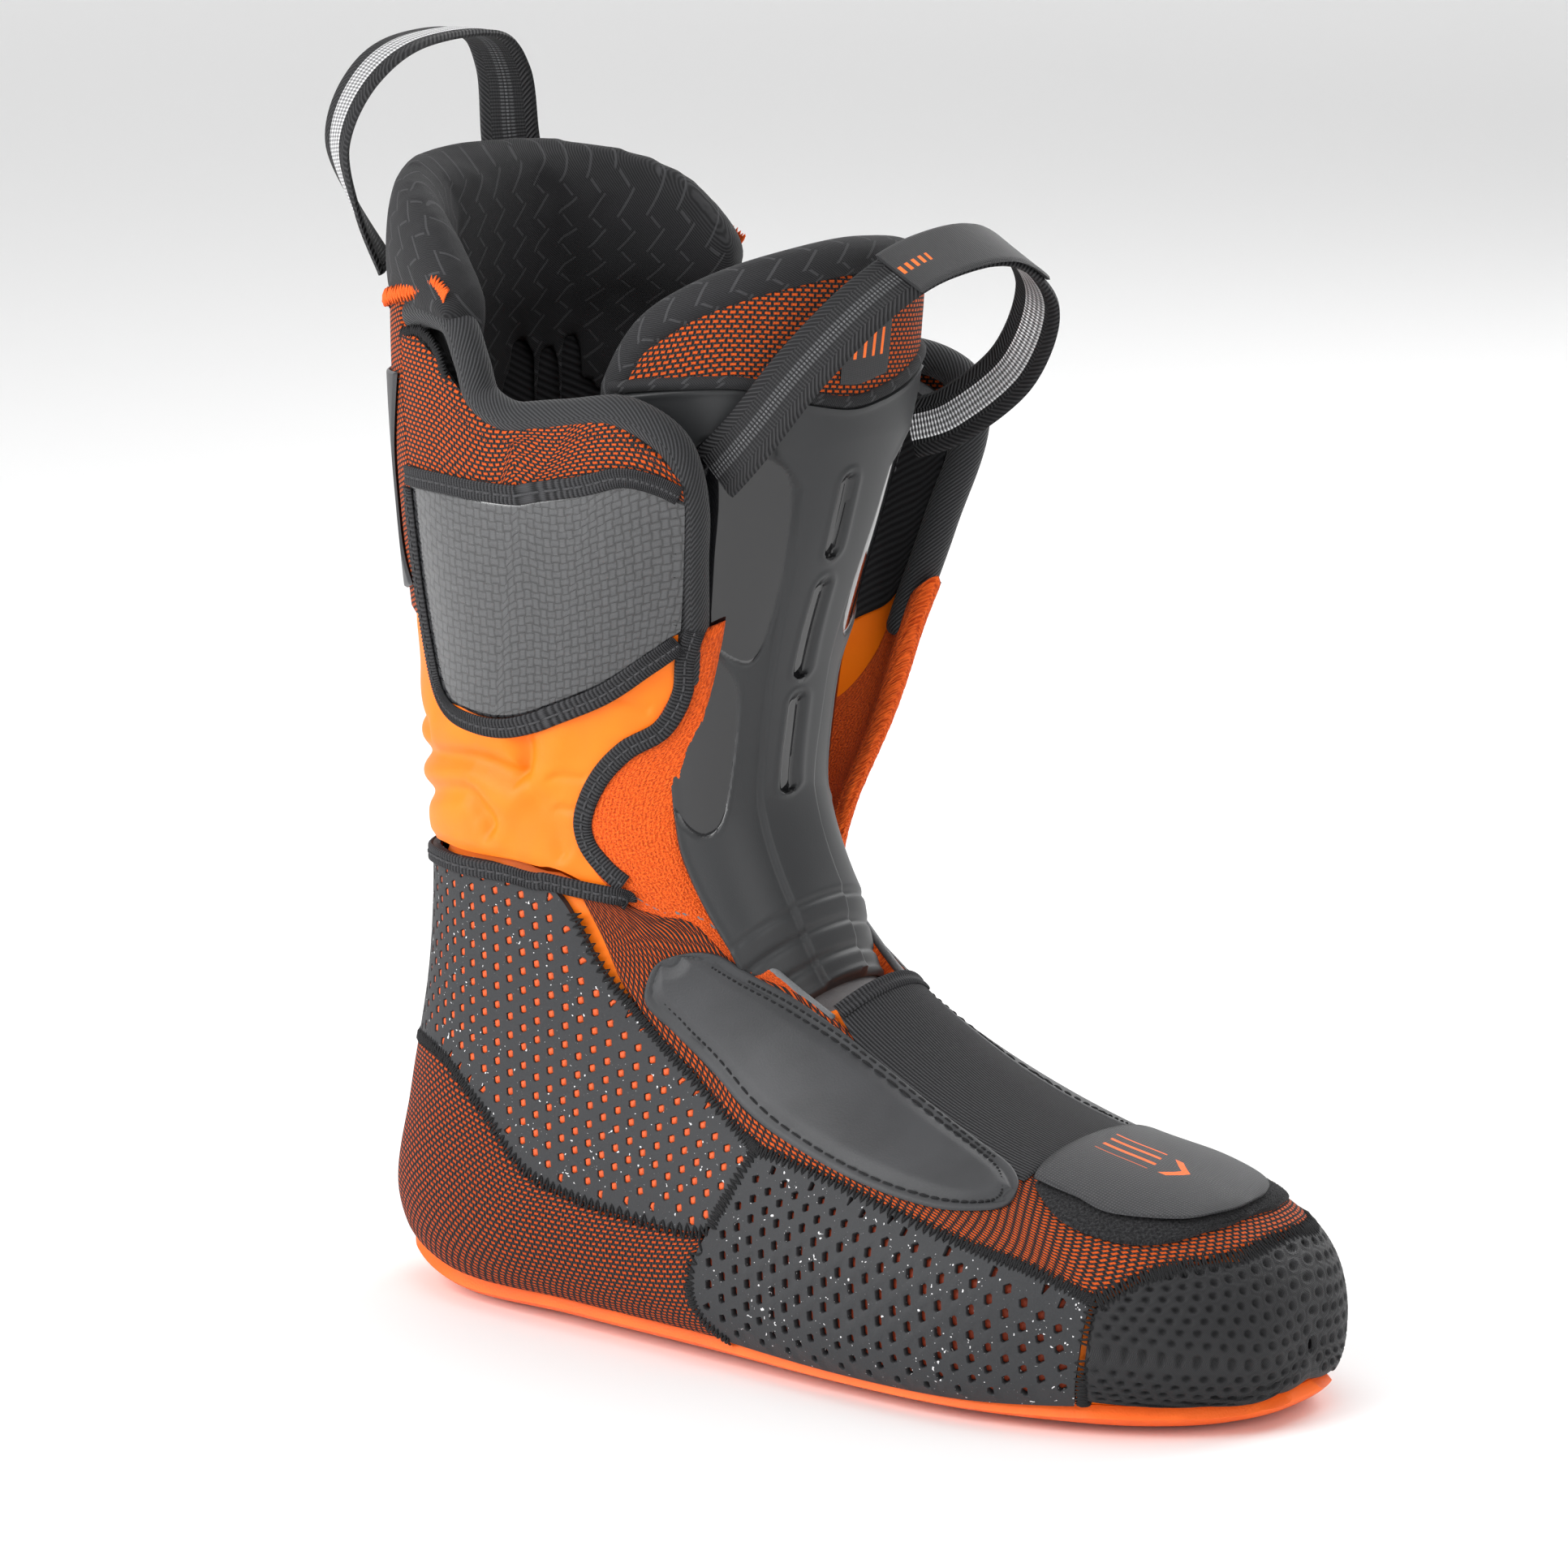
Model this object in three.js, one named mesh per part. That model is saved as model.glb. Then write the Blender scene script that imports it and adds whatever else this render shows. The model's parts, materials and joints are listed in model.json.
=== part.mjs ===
// Inner boot (liner) of a ski touring boot, right foot.
// Millimetres, +Z up, toe towards +X, outer (little toe) side of the foot towards -Y.
import * as THREE from 'three';

// ---------------------------------------------------------------- driving dimensions
const FOOT_LENGTH = 281; // heel to toe, over the foam
const BALL_WIDTH = 104; // across the ball of the foot, over the foam
const CUFF_HEIGHT = 314; // top of the sole to the top of the rear collar

const SOLE_THICKNESS = 4; // foam outsole
const SOLE_GLUE = 0.9; // outsole to foam
const FOAM_WALL = 6; // heat mouldable foam of the foot and cuff
const WING_WALL = 5; // thinner foam of the two terry wings
const SKIN_GAP = 1.3; // glue line between a foam and the skin on it
const SKIN = 1; // knit, mesh and perforated skins
const LONGER = (FOOT_LENGTH / 281) ** 2; // facets stand further off the curves of a longer foot
const OVERLAY_GAP = 0.8 * LONGER; // between a skin and what is sewn over it
const OVERLAY = 0.9; // tapes, eyestays, elastic, plates
const PLATE = 1.6; // composite flap plates
const LINING = 1; // inner linings
const LINING_GAP = 0.9 * LONGER; // glue line between a foam and its lining
const BOARD = 1.5; // lasting board under the foot
const FOOTBED = 4; // removable footbed
const BED_GAP = 0.4; // footbed to board, board to foam
const BED_SIDE_GAP = 12; // footbed edge to the foam wall

const TAPE_WIDTH = 8; // woven edge tapes
const BINDING_RADIUS = 4.2; // padded binding of a flap edge
const PIPING_RADIUS = 1.6; // rolled piping of the tongue
const RIM_RADIUS = 5; // padded rim of the tongue
const WEBBING_WIDTH = 20; // pull loops
const WEBBING = 1.8; // thickness of the pull loops
const LOOP_CLEARANCE = 1.2; // pull loop to the piece it is sewn to
const COLLAR_INSIDE = 9; // how far the rear collar pad swells inwards
const COLLAR_OUTSIDE = 2; // how far it swells outwards

const FLARE_FORWARD = 8; // how far the inner side of the cuff stands open, forwards
const FLARE_OUT = 14; // and outwards
const FLARE_BACK = 100; // angle behind which it doesn't
const FLARE_FRONT = 50; // angle in front of which it does in full
const FLARE_FOOT = 11.5; // station below which it doesn't
const FLARE_TOP = 13.3; // station above which it does in full

const TONGUE_PAD = 6; // foam of the tongue
const TONGUE_SHELL = 1.6; // moulded plastic of the tongue
const TONGUE_SKIN_GAP = 1; // tongue foam to its plastic shell and knit
const TONGUE_TUCK = FOAM_WALL + TONGUE_SHELL + 1.5; // the tongue's lower end, under the vamp

// ---------------------------------------------------------------- the last
// One row for each station, from the toe (row 0) round the heel bend to the top of the cuff.
// Columns: front point x and z, back (or under) point x and z, half width, sideways shift,
// squareness of the front half, squareness of the back half, widest place from back to front.
const LAST_LENGTH = 281;
const LAST_BALL_WIDTH = 104;
const LAST_HEIGHT = 314;
const LAST = [
  [275, 18, 275, 16, 0.5, 8, 2.2, 2.6, 0.42],
  [274, 32, 273, 5, 18, 8, 2.2, 2.8, 0.42],
  [267, 43, 263, 1, 31, 7, 2.3, 3.4, 0.42],
  [254, 51, 248, 0, 41, 5, 2.3, 4.2, 0.42],
  [236, 56, 228, 0, 48, 3, 2.3, 4.8, 0.42],
  [211, 61, 198, 0, 52, 0, 2.2, 5, 0.42],
  [186, 70, 160, 0, 51, -1, 2.2, 5, 0.42],
  [164, 82, 112, 0, 47, 0, 2.1, 5, 0.42],
  [146, 97, 62, 0, 44, 0, 2, 4.6, 0.42],
  [134, 114, 16, 0, 43, 0, 2, 3.6, 0.45],
  [127, 132, -6, 16, 42, 0, 2, 2.8, 0.48],
  [124, 151, -4, 46, 42, 0, 2.1, 2.4, 0.5],
  [126, 171, 3, 84, 43, 0, 2.2, 2.3, 0.5],
  [130, 194, 6, 122, 46, 0, 2.4, 2.3, 0.5],
  [136, 220, 4, 160, 53, 1, 2.9, 2.2, 0.5],
  [140, 246, 0, 202, 61, 3, 3.6, 2.2, 0.5],
  [142, 268, -3, 244, 65, 4, 4, 2.2, 0.5],
  [144, 290, -4, 280, 65, 4, 3.8, 2.2, 0.5],
  [145, 314, -2, 313, 63, 3, 3.4, 2.2, 0.5],
];
const TOP_STATION = LAST.length - 1;
const GRADE = {
  x: FOOT_LENGTH / LAST_LENGTH,
  y: BALL_WIDTH / LAST_BALL_WIDTH,
  z: CUFF_HEIGHT / LAST_HEIGHT,
};
const DEGREE = Math.PI / 180;
const NORMAL_STEP_ANGLE = 1.5; // degrees either side, when a surface direction is measured
const NORMAL_STEP_STATION = 0.06;

function catmullRom(a, b, c, d, t) {
  const straight = 2 * b + (c - a) * t;
  const curve = (2 * a - 5 * b + 4 * c - d) * t * t;
  const twist = (3 * b - a - 3 * c + d) * t * t * t;
  return (straight + curve + twist) / 2;
}

function station(k) {
  const place = Math.min(Math.max(k, 0), TOP_STATION);
  const i = Math.min(Math.floor(place), TOP_STATION - 1);
  const rows = [LAST[Math.max(i - 1, 0)], LAST[i], LAST[i + 1], LAST[Math.min(i + 2, TOP_STATION)]];
  const value = rows[1].map((_, column) => {
    return catmullRom(...rows.map((row) => row[column]), place - i);
  });
  return {
    front: new THREE.Vector2(value[0] * GRADE.x, SOLE_THICKNESS + value[1] * GRADE.z),
    back: new THREE.Vector2(value[2] * GRADE.x, SOLE_THICKNESS + value[3] * GRADE.z),
    half: value[4] * GRADE.y,
    shift: value[5] * GRADE.y,
    squareFront: value[6],
    squareBack: value[7],
    middle: value[8],
  };
}

// The inner side of the cuff stands a little open, forwards and outwards.
function flare(angle, k) {
  const turned = THREE.MathUtils.smoothstep(-angle, -FLARE_BACK, -FLARE_FRONT);
  const share = angle > 0 ? turned * THREE.MathUtils.smoothstep(k, FLARE_FOOT, FLARE_TOP) : 0;
  return new THREE.Vector3(FLARE_FORWARD * share, FLARE_OUT * share, 0);
}

// A point of the last: angle in degrees from the front centre line, outer side of the foot
// negative, +-180 at the back or underneath; k is the station.
function lastPoint(angle, k) {
  const at = station(k);
  const centre = at.back.clone().lerp(at.front, at.middle);
  const cosine = Math.cos(angle * DEGREE);
  const sine = Math.max(Math.abs(Math.sin(angle * DEGREE)), 1e-9);
  const square = cosine >= 0 ? at.squareFront : at.squareBack;
  const end = cosine >= 0 ? at.front : at.back;
  const reach = Math.abs(cosine) ** (2 / square);
  const side = Math.sign(Math.sin(angle * DEGREE)) * sine ** (2 / square);
  const profile = centre.clone().lerp(end, reach);
  const open = flare(angle, k);
  return {
    point: new THREE.Vector3(profile.x, at.shift + side * at.half, profile.y).add(open),
    centre: new THREE.Vector3(centre.x, at.shift, centre.y).add(open),
  };
}

function lastNormal(angle, k) {
  const high = Math.min(k + NORMAL_STEP_STATION, TOP_STATION);
  const low = Math.max(high - 2 * NORMAL_STEP_STATION, 0);
  const around = lastPoint(angle + NORMAL_STEP_ANGLE, k).point;
  around.sub(lastPoint(angle - NORMAL_STEP_ANGLE, k).point);
  const along = lastPoint(angle, high).point.sub(lastPoint(angle, low).point);
  const normal = around.cross(along).normalize();
  const { point, centre } = lastPoint(angle, k);
  return normal.dot(point.sub(centre)) < 0 ? normal.negate() : normal;
}

// Height above the last's surface: outwards along the surface's normal, and inwards (a
// negative height) towards the middle of the station, so thick walls never fold over.
function onLast([angle, k], height) {
  const { point, centre } = lastPoint(angle, k);
  if (height >= 0) {
    return point.addScaledVector(lastNormal(angle, k), height);
  }
  const inwards = centre.sub(point);
  return point.addScaledVector(inwards.normalize(), -height);
}

// ---------------------------------------------------------------- the tongue's own surface
// Columns: station, half width, how far the wings reach back, how deep it is tucked in.
const TONGUE = [
  [6.6, 19, 16, TONGUE_TUCK],
  [8.4, 20, 17, TONGUE_TUCK],
  [9.4, 21, 18, 2],
  [11, 23, 24, 1],
  [12.6, 26, 30, 1],
  [13.6, 30, 38, 1],
  [15, 40, 50, 1],
  [16, 45, 55, 1],
  [17.4, 44, 54, 1],
];
const TONGUE_SQUARE = 2.3;

function tongueShape(k) {
  const last = TONGUE.length - 1;
  let row = 0;
  while (row < last - 1 && k > TONGUE[row + 1][0]) {
    row += 1;
  }
  const share = (k - TONGUE[row][0]) / (TONGUE[row + 1][0] - TONGUE[row][0]);
  const smooth = THREE.MathUtils.clamp(share, 0, 1);
  return TONGUE[row].map((value, column) => {
    return THREE.MathUtils.lerp(value, TONGUE[row + 1][column], smooth);
  });
}

function onTongue([angle, k], height) {
  const at = station(k);
  const [, half, reach, tuck] = tongueShape(k);
  const backwards = at.back.clone().sub(at.front).normalize();
  const centre = at.front.clone().addScaledVector(backwards, tuck + reach * GRADE.x);
  const depth = Math.cos(angle * DEGREE) ** (2 / TONGUE_SQUARE) * reach * GRADE.x;
  const side = Math.abs(Math.sin(angle * DEGREE)) ** (2 / TONGUE_SQUARE) * half * GRADE.y;
  const profile = centre.clone().addScaledVector(backwards, -depth);
  const middle = new THREE.Vector3(centre.x, at.shift, centre.y);
  const point = new THREE.Vector3(profile.x, at.shift + Math.sign(angle) * side, profile.y);
  const outwards = point.clone().sub(middle).normalize();
  return point.addScaledVector(outwards, height);
}

// ---------------------------------------------------------------- building solids
const bodies = {};
for (const name of ['foot', 'cuff', 'lateral_flap', 'medial_flap', 'tongue', 'tongue_loop',
  'rear_loop', 'toe_flap']) {
  bodies[name] = new THREE.Group();
  bodies[name].name = `${name}_pieces`;
}

const FINISHES = {
  foam_orange: { color: 0xff7a14, roughness: 0.55 },
  sole_orange: { color: 0xff6a1c, roughness: 0.7 },
  knit: { color: 0x6a3316, roughness: 0.85 },
  perforated: { color: 0x2f2f33, roughness: 0.7 },
  mesh_black: { color: 0x161618, roughness: 0.8 },
  leather: { color: 0x2b2b2f, roughness: 0.5 },
  elastic: { color: 0x1d1d20, roughness: 0.9 },
  tape: { color: 0x141416, roughness: 0.85 },
  twill: { color: 0x19191c, roughness: 0.9 },
  terry: { color: 0xf06a22, roughness: 0.95 },
  composite: { color: 0x3a3b40, roughness: 0.25 },
  plastic: { color: 0x252629, roughness: 0.45 },
  foam_grey: { color: 0x55565a, roughness: 0.8 },
  webbing: { color: 0x1b1b1e, roughness: 0.75 },
  board: { color: 0x9a8a70, roughness: 0.9 },
};

function addMesh(body, name, finish, positions, triangles) {
  const geometry = new THREE.BufferGeometry();
  const corners = positions.map((p) => [p.x, p.y, p.z]).flat();
  geometry.setAttribute('position', new THREE.Float32BufferAttribute(corners, 3));
  let volume = 0;
  for (const [a, b, c] of triangles) {
    volume += positions[a].dot(positions[b].clone().cross(positions[c]));
  }
  const facing = volume < 0 ? triangles.map(([a, b, c]) => [a, c, b]) : triangles;
  geometry.setIndex(facing.flat());
  geometry.computeVertexNormals();
  const mesh = new THREE.Mesh(geometry, new THREE.MeshStandardMaterial(FINISHES[finish]));
  mesh.name = name;
  bodies[body].add(mesh);
  return mesh;
}

// Two grids of points, an outer and an inner one, become one closed wall. A ring grid joins
// its last column to its first. A capped grid ends its first row in a point on each side.
function addWall(body, name, finish, outer, inner, { ring = false, capped = false } = {}) {
  const columns = outer.length;
  const rows = outer[0].length;
  const positions = [...outer.flat(), ...inner.flat()];
  const innerStart = columns * rows;
  const triangles = [];
  const quad = (a, b, c, d) => {
    triangles.push([a, b, c], [a, c, d]);
  };
  const last = ring ? columns : columns - 1;
  for (let i = 0; i < last; i += 1) {
    const here = i * rows;
    const next = ((i + 1) % columns) * rows;
    for (let j = 0; j < rows - 1; j += 1) {
      quad(here + j, next + j, next + j + 1, here + j + 1);
      quad(innerStart + here + j, innerStart + here + j + 1,
        innerStart + next + j + 1, innerStart + next + j);
    }
    const top = rows - 1;
    quad(here + top, next + top, innerStart + next + top, innerStart + here + top);
    if (!capped) {
      quad(next, here, innerStart + here, innerStart + next);
    }
  }
  if (!ring) {
    const end = (columns - 1) * rows;
    for (let j = 0; j < rows - 1; j += 1) {
      quad(j, j + 1, innerStart + j + 1, innerStart + j);
      quad(end + j + 1, end + j, innerStart + end + j, innerStart + end + j + 1);
    }
  }
  if (capped) {
    const outerPole = positions.length;
    const innerPole = outerPole + 1;
    for (const grid of [outer, inner]) {
      const pole = new THREE.Vector3();
      grid.forEach((column) => pole.addScaledVector(column[0], 1 / columns));
      positions.push(pole);
    }
    for (let i = 0; i < columns; i += 1) {
      const next = ((i + 1) % columns) * rows;
      triangles.push([outerPole, next, i * rows]);
      triangles.push([innerPole, innerStart + i * rows, innerStart + next]);
    }
  }
  return addMesh(body, name, finish, positions, triangles);
}

const STATION_TO_DEGREES = 30; // a station is about as long as 30 degrees are wide

function patternCurve(points) {
  return new THREE.SplineCurve(points.map(([angle, k]) => {
    return new THREE.Vector2(angle, k * STATION_TO_DEGREES);
  }));
}

function curvePoint(curve, share) {
  const point = curve.getPoint(share);
  return [point.x, point.y / STATION_TO_DEGREES];
}

const mirrored = (points) => points.map(([angle, k]) => [-angle, k]);
const SIDES = [['lateral', mirrored], ['medial', (points) => points]];
// A line drawn from the outer side to the middle of the back, carried on round the back to the
// inner side.
const around = (points) => {
  const innerSide = points.slice(0, -1).reverse().map(([angle, k]) => [angle - 360, k]);
  return [...mirrored(points), ...innerSide];
};
const moved = (points, angle, k) => points.map((point) => [point[0] + angle, point[1] + k]);

// A panel between two pattern curves, from the height 'inside' to the height 'outside'.
function addPanel(body, name, finish, curves, [inside, outside], [along, across], surface = onLast) {
  const [first, second] = curves.map(patternCurve);
  const grid = (height) => {
    const columns = [];
    for (let i = 0; i <= along; i += 1) {
      const a = curvePoint(first, i / along);
      const b = curvePoint(second, i / along);
      const column = [];
      for (let j = 0; j <= across; j += 1) {
        const share = j / across;
        const place = [a[0] + (b[0] - a[0]) * share, a[1] + (b[1] - a[1]) * share];
        column.push(surface(place, height));
      }
      columns.push(column);
    }
    return columns;
  };
  return addWall(body, name, finish, grid(outside), grid(inside));
}

// The directions of a path that lies on a surface: along it, out of it, and across it.
function pathFrames(points, steps, surface) {
  const curve = patternCurve(points);
  const frames = [];
  const nudge = 0.01;
  for (let i = 0; i <= steps; i += 1) {
    const share = i / steps;
    const place = curvePoint(curve, share);
    const before = surface(curvePoint(curve, Math.max(share - nudge, 0)), 0);
    const after = surface(curvePoint(curve, Math.min(share + nudge, 1)), 0);
    const point = surface(place, 0);
    const out = surface(place, 1).sub(point).normalize();
    const along = after.sub(before).normalize();
    const across = out.clone().cross(along).normalize();
    frames.push({ point, out, across });
  }
  return frames;
}

// A flat tape sewn along a path on a surface.
function addTape(body, name, finish, points, width, [inside, outside], steps, surface = onLast) {
  const frames = pathFrames(points, steps, surface);
  const grid = (height) => frames.map(({ point, out, across }) => [-0.5, 0.5].map((side) => {
    const edge = point.clone().addScaledVector(across, side * width);
    return edge.addScaledVector(out, height);
  }));
  return addWall(body, name, finish, grid(outside), grid(inside));
}

// A round rod along a path on a surface, its middle at a given height, with capped ends.
function addRod(body, name, finish, points, radius, height, steps, surface = onLast) {
  const sides = 8;
  const frames = pathFrames(points, steps, surface);
  const positions = [];
  for (const { point, out, across } of frames) {
    for (let side = 0; side < sides; side += 1) {
      const turn = side / sides * 2 * Math.PI;
      const corner = point.clone().addScaledVector(out, height + radius * Math.cos(turn));
      positions.push(corner.addScaledVector(across, radius * Math.sin(turn)));
    }
  }
  const triangles = [];
  for (let i = 0; i < steps; i += 1) {
    for (let side = 0; side < sides; side += 1) {
      const a = i * sides + side;
      const b = i * sides + (side + 1) % sides;
      triangles.push([a, b, b + sides], [a, b + sides, a + sides]);
    }
  }
  for (let side = 1; side < sides - 1; side += 1) {
    const end = steps * sides;
    triangles.push([0, side + 1, side], [end, end + side, end + side + 1]);
  }
  return addMesh(body, name, finish, positions, triangles);
}

// A webbing strap along free points. Its width lies along one direction at the middle and may
// turn towards another one at each end; its faces lie at two heights from the route.
function addStrap(body, name, finish, points, directions, width, [inside, outside], [from, to], steps) {
  const curve = new THREE.CatmullRomCurve3(points);
  const [first, middle, last] = directions.map((direction) => direction.clone().normalize());
  const grid = (height) => {
    const columns = [];
    for (let i = 0; i <= steps; i += 1) {
      const share = from + (to - from) * i / steps;
      const end = share < 0.5 ? first : last;
      const across = end.clone().lerp(middle, Math.sin(Math.PI * share)).normalize();
      const out = curve.getTangent(share).cross(across).normalize();
      const centre = curve.getPoint(share).addScaledVector(out, height);
      columns.push([-0.5, 0.5].map((edge) => centre.clone().addScaledVector(across, edge * width)));
    }
    return columns;
  };
  return addWall(body, name, finish, grid(outside), grid(inside));
}

// ---------------------------------------------------------------- heights of the layers
const FOAM_LAYER = [-FOAM_WALL, 0];
const SKIN_LAYER = [SKIN_GAP, SKIN_GAP + SKIN];
const OVERLAY_BASE = SKIN_GAP + SKIN + OVERLAY_GAP;
const OVERLAY_LAYER = [OVERLAY_BASE, OVERLAY_BASE + OVERLAY];
const TOP_LAYER = [OVERLAY_BASE + OVERLAY + OVERLAY_GAP, OVERLAY_BASE + 2 * OVERLAY + OVERLAY_GAP];
const PLATE_LAYER = [SKIN_GAP, SKIN_GAP + PLATE];
const PLATE_TAPE_BASE = SKIN_GAP + PLATE + OVERLAY_GAP;
const PLATE_TAPE_LAYER = [PLATE_TAPE_BASE, PLATE_TAPE_BASE + OVERLAY];
const LINING_LAYER = [-FOAM_WALL - LINING_GAP - LINING, -FOAM_WALL - LINING_GAP];

// ---------------------------------------------------------------- pattern lines
// Each point is [angle in degrees, station], drawn for the outer side as positive angles and
// used for both sides. All the pieces that meet at a seam take it from the same line.
const ANKLE_EDGE = [[0, 7.9], [26, 8.15], [35, 9], [44, 10.2], [67, 11.15], [87, 11.95], [103, 12.45],
  [130, 12.9], [180, 13.2]];
const REAR_FOOT = 14.3; // station where the rear foam starts, above the ankle foam
const HINGE_ANGLE = 127; // the flap turns here
const HINGE_GAP = 3; // degrees from the hinge to the pieces on either side
const HEEL_TOP = [[90, 7.3], [91, 8.1], [93, 8.9], [98, 9.9], [112, 10.7], [130, 11.2], [153, 11.45],
  [180, 11.55]];
const FOREFOOT_TOP = [[69, 7.2], [64, 6.35], [63, 5.15], [68, 4.45], [75, 3.75]];
const SEAM_STATION = 0.06; // half a seam, counted in stations
const SEAM_ANGLE = 1.6; // half a seam, counted in degrees

function valueAt(line, angle) {
  const size = Math.abs(angle);
  let i = 0;
  while (i < line.length - 2 && size > line[i + 1][0]) {
    i += 1;
  }
  const [a, b] = [line[i], line[i + 1]];
  const share = THREE.MathUtils.clamp((size - a[0]) / (b[0] - a[0]), 0, 1);
  return a[1] + (b[1] - a[1]) * share;
}

// ---------------------------------------------------------------- foot
const TOE_POLE = 0.03; // station where the rounded toe closes
const TOE_INSIDE = 1.75; // station where the hollow for the toes ends
const FOAM_JOINT = 5.2; // station where the toe foam is glued to the heel foam
const FOAM_JOINT_GAP = 0.02; // the glue line, counted in stations
const SHELL_COLUMNS = 26;
const TOE_FOAM_ROWS = 9;
const HEEL_FOAM_ROWS = 14;
const TOE_CAP_ROWS = 7;

// Points all round the last, from the station 'start' to the line 'end' at each angle.
function ringGrid(start, end, height, rows) {
  const columns = [];
  for (let i = 0; i < SHELL_COLUMNS; i += 1) {
    const angle = -180 + (i + 0.5) * 360 / SHELL_COLUMNS;
    const length = valueAt(end, angle) - start;
    const column = [];
    for (let j = 0; j <= rows; j += 1) {
      column.push(onLast([angle, start + length * j / rows], height));
    }
    columns.push(column);
  }
  return columns;
}

function footFoam() {
  const joint = [[0, FOAM_JOINT], [180, FOAM_JOINT]];
  addWall('foot', 'toe_foam_shell', 'foam_orange', ringGrid(TOE_POLE, joint, 0, TOE_FOAM_ROWS),
    ringGrid(TOE_INSIDE, joint, -FOAM_WALL, TOE_FOAM_ROWS), { ring: true, capped: true });
  const start = FOAM_JOINT + FOAM_JOINT_GAP;
  addWall('foot', 'heel_foam_shell', 'foam_orange', ringGrid(start, ANKLE_EDGE, 0, HEEL_FOAM_ROWS),
    ringGrid(start, ANKLE_EDGE, -FOAM_WALL, HEEL_FOAM_ROWS), { ring: true });
}

// The sole's edge, from toe to heel: [station, angle in degrees].
const SOLE_EDGE = [[0.95, 168], [1.3, 140], [2.4, 126], [3.5, 123], [4.4, 128], [5.8, 133], [7, 132],
  [8, 137], [9, 146], [9.5, 157], [9.75, 168]];
const SOLE_SPARE = 0.6; // foam that the flat cut takes off

// The sole pad: the under side of the last, thickened downwards and cut flat at the floor.
function outsole() {
  const rows = 8;
  const columns = 22;
  const toe = SOLE_EDGE[0][0];
  const heel = SOLE_EDGE[SOLE_EDGE.length - 1][0];
  const grid = (height) => {
    const list = [];
    for (let i = 0; i <= columns; i += 1) {
      const k = toe + (heel - toe) * i / columns;
      const start = valueAt(SOLE_EDGE, k);
      const column = [];
      for (let j = 0; j <= rows; j += 1) {
        const angle = start + (360 - 2 * start) * j / rows;
        const wrapped = angle > 180 ? angle - 360 : angle;
        const point = onLast([wrapped, k], height);
        point.z = Math.max(point.z, 0);
        column.push(point);
      }
      list.push(column);
    }
    return list;
  };
  addWall('foot', 'outsole_foam', 'sole_orange', grid(SOLE_THICKNESS + SOLE_SPARE), grid(SOLE_GLUE));
}

// A flat layer on the floor of the hollow, cut to the shape of the hollow.
function flatBed(name, finish, bottom, thickness, sideGap) {
  const heel = 8.5;
  const toe = 2.9;
  const steps = 16;
  const layer = (z) => {
    const columns = [];
    for (let i = 0; i <= steps; i += 1) {
      const at = station(toe + (heel - toe) * i / steps);
      const roundEnd = Math.sin(Math.PI * Math.min(i + 0.9, steps - i + 0.9, 5) / 10);
      const half = (at.half - FOAM_WALL - sideGap) * roundEnd;
      columns.push([-1, 1].map((side) => new THREE.Vector3(at.back.x, at.shift + side * half, z)));
    }
    return columns;
  };
  addWall('foot', name, finish, layer(bottom + thickness), layer(bottom));
}

function footSkins() {
  const heelLow = [[128, 6.75], [130, 7.4], [134, 8.1], [140, 8.9], [147, 9.4], [154, 9.7], [165, 9.88],
    [180, 9.95]];
  const heelHigh = moved(HEEL_TOP, SEAM_ANGLE, -SEAM_STATION);
  addPanel('foot', 'heel_knit', 'knit', [around(heelLow), around(heelHigh)], SKIN_LAYER, [30, 3]);
  for (const [side, place] of SIDES) {
    const quarterLow = moved([...HEEL_TOP.slice(0, -1), [177, 11.55]], -SEAM_ANGLE / 2, SEAM_STATION);
    const quarterHigh = [[70, 7.45], [66, 8.5], [70, 10], [86, 11.5], [103, 12.3], [130, 12.75],
      [153, 12.95], [177, 13.05]];
    addPanel('foot', `quarter_${side}`, 'perforated', [place(quarterLow), place(quarterHigh)],
      SKIN_LAYER, [18, 6]);
    const forefootLow = [[126, 6.65], [129, 5.85], [127, 4.9], [121, 4.2], [117, 3.8]];
    addPanel('foot', `forefoot_${side}`, 'perforated', [place(forefootLow), place(FOREFOOT_TOP)],
      SKIN_LAYER, [8, 5]);
    const vampInside = [[27, 8.25], [31, 8.65], [38, 9.15], [46, 10.05], [54, 10.45], [65, 11.0]];
    const vampOutside = [[63, 8], [61, 8.3], [60, 8.7], [61, 9.4], [69, 10.6], [81, 11.6]];
    addPanel('foot', `vamp_knit_${side}`, 'knit', [place(vampInside), place(vampOutside)],
      SKIN_LAYER, [10, 4]);
  }
  const vampEdge = [[60, 7.75], [61, 7.2], [60, 6.35], [59, 5.15], [62, 4.4], [64, 3.75], [52, 3.25],
    [34, 2.45]];
  addPanel('foot', 'vamp_knit_front', 'knit', [mirrored(vampEdge), vampEdge], SKIN_LAYER, [10, 8]);
}

footFoam();
outsole();
flatBed('insole_board', 'board', SOLE_THICKNESS + FOAM_WALL + BED_GAP, BOARD, BED_SIDE_GAP);
flatBed('footbed', 'foam_grey', SOLE_THICKNESS + FOAM_WALL + 2 * BED_GAP + BOARD, FOOTBED, BED_SIDE_GAP);
footSkins();

function toeCap() {
  const edge = [[0, 2], [30, 2.1], [48, 2.75], [60, 3.15], [76, 3.55], [112, 3.5], [121, 2.1], [140, 1],
    [180, 0.75]];
  const [inner, outer] = SKIN_LAYER.map((height) => ringGrid(TOE_POLE, edge, height, TOE_CAP_ROWS));
  addWall('foot', 'toe_cap', 'mesh_black', outer, inner, { ring: true, capped: true });
}

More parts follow.
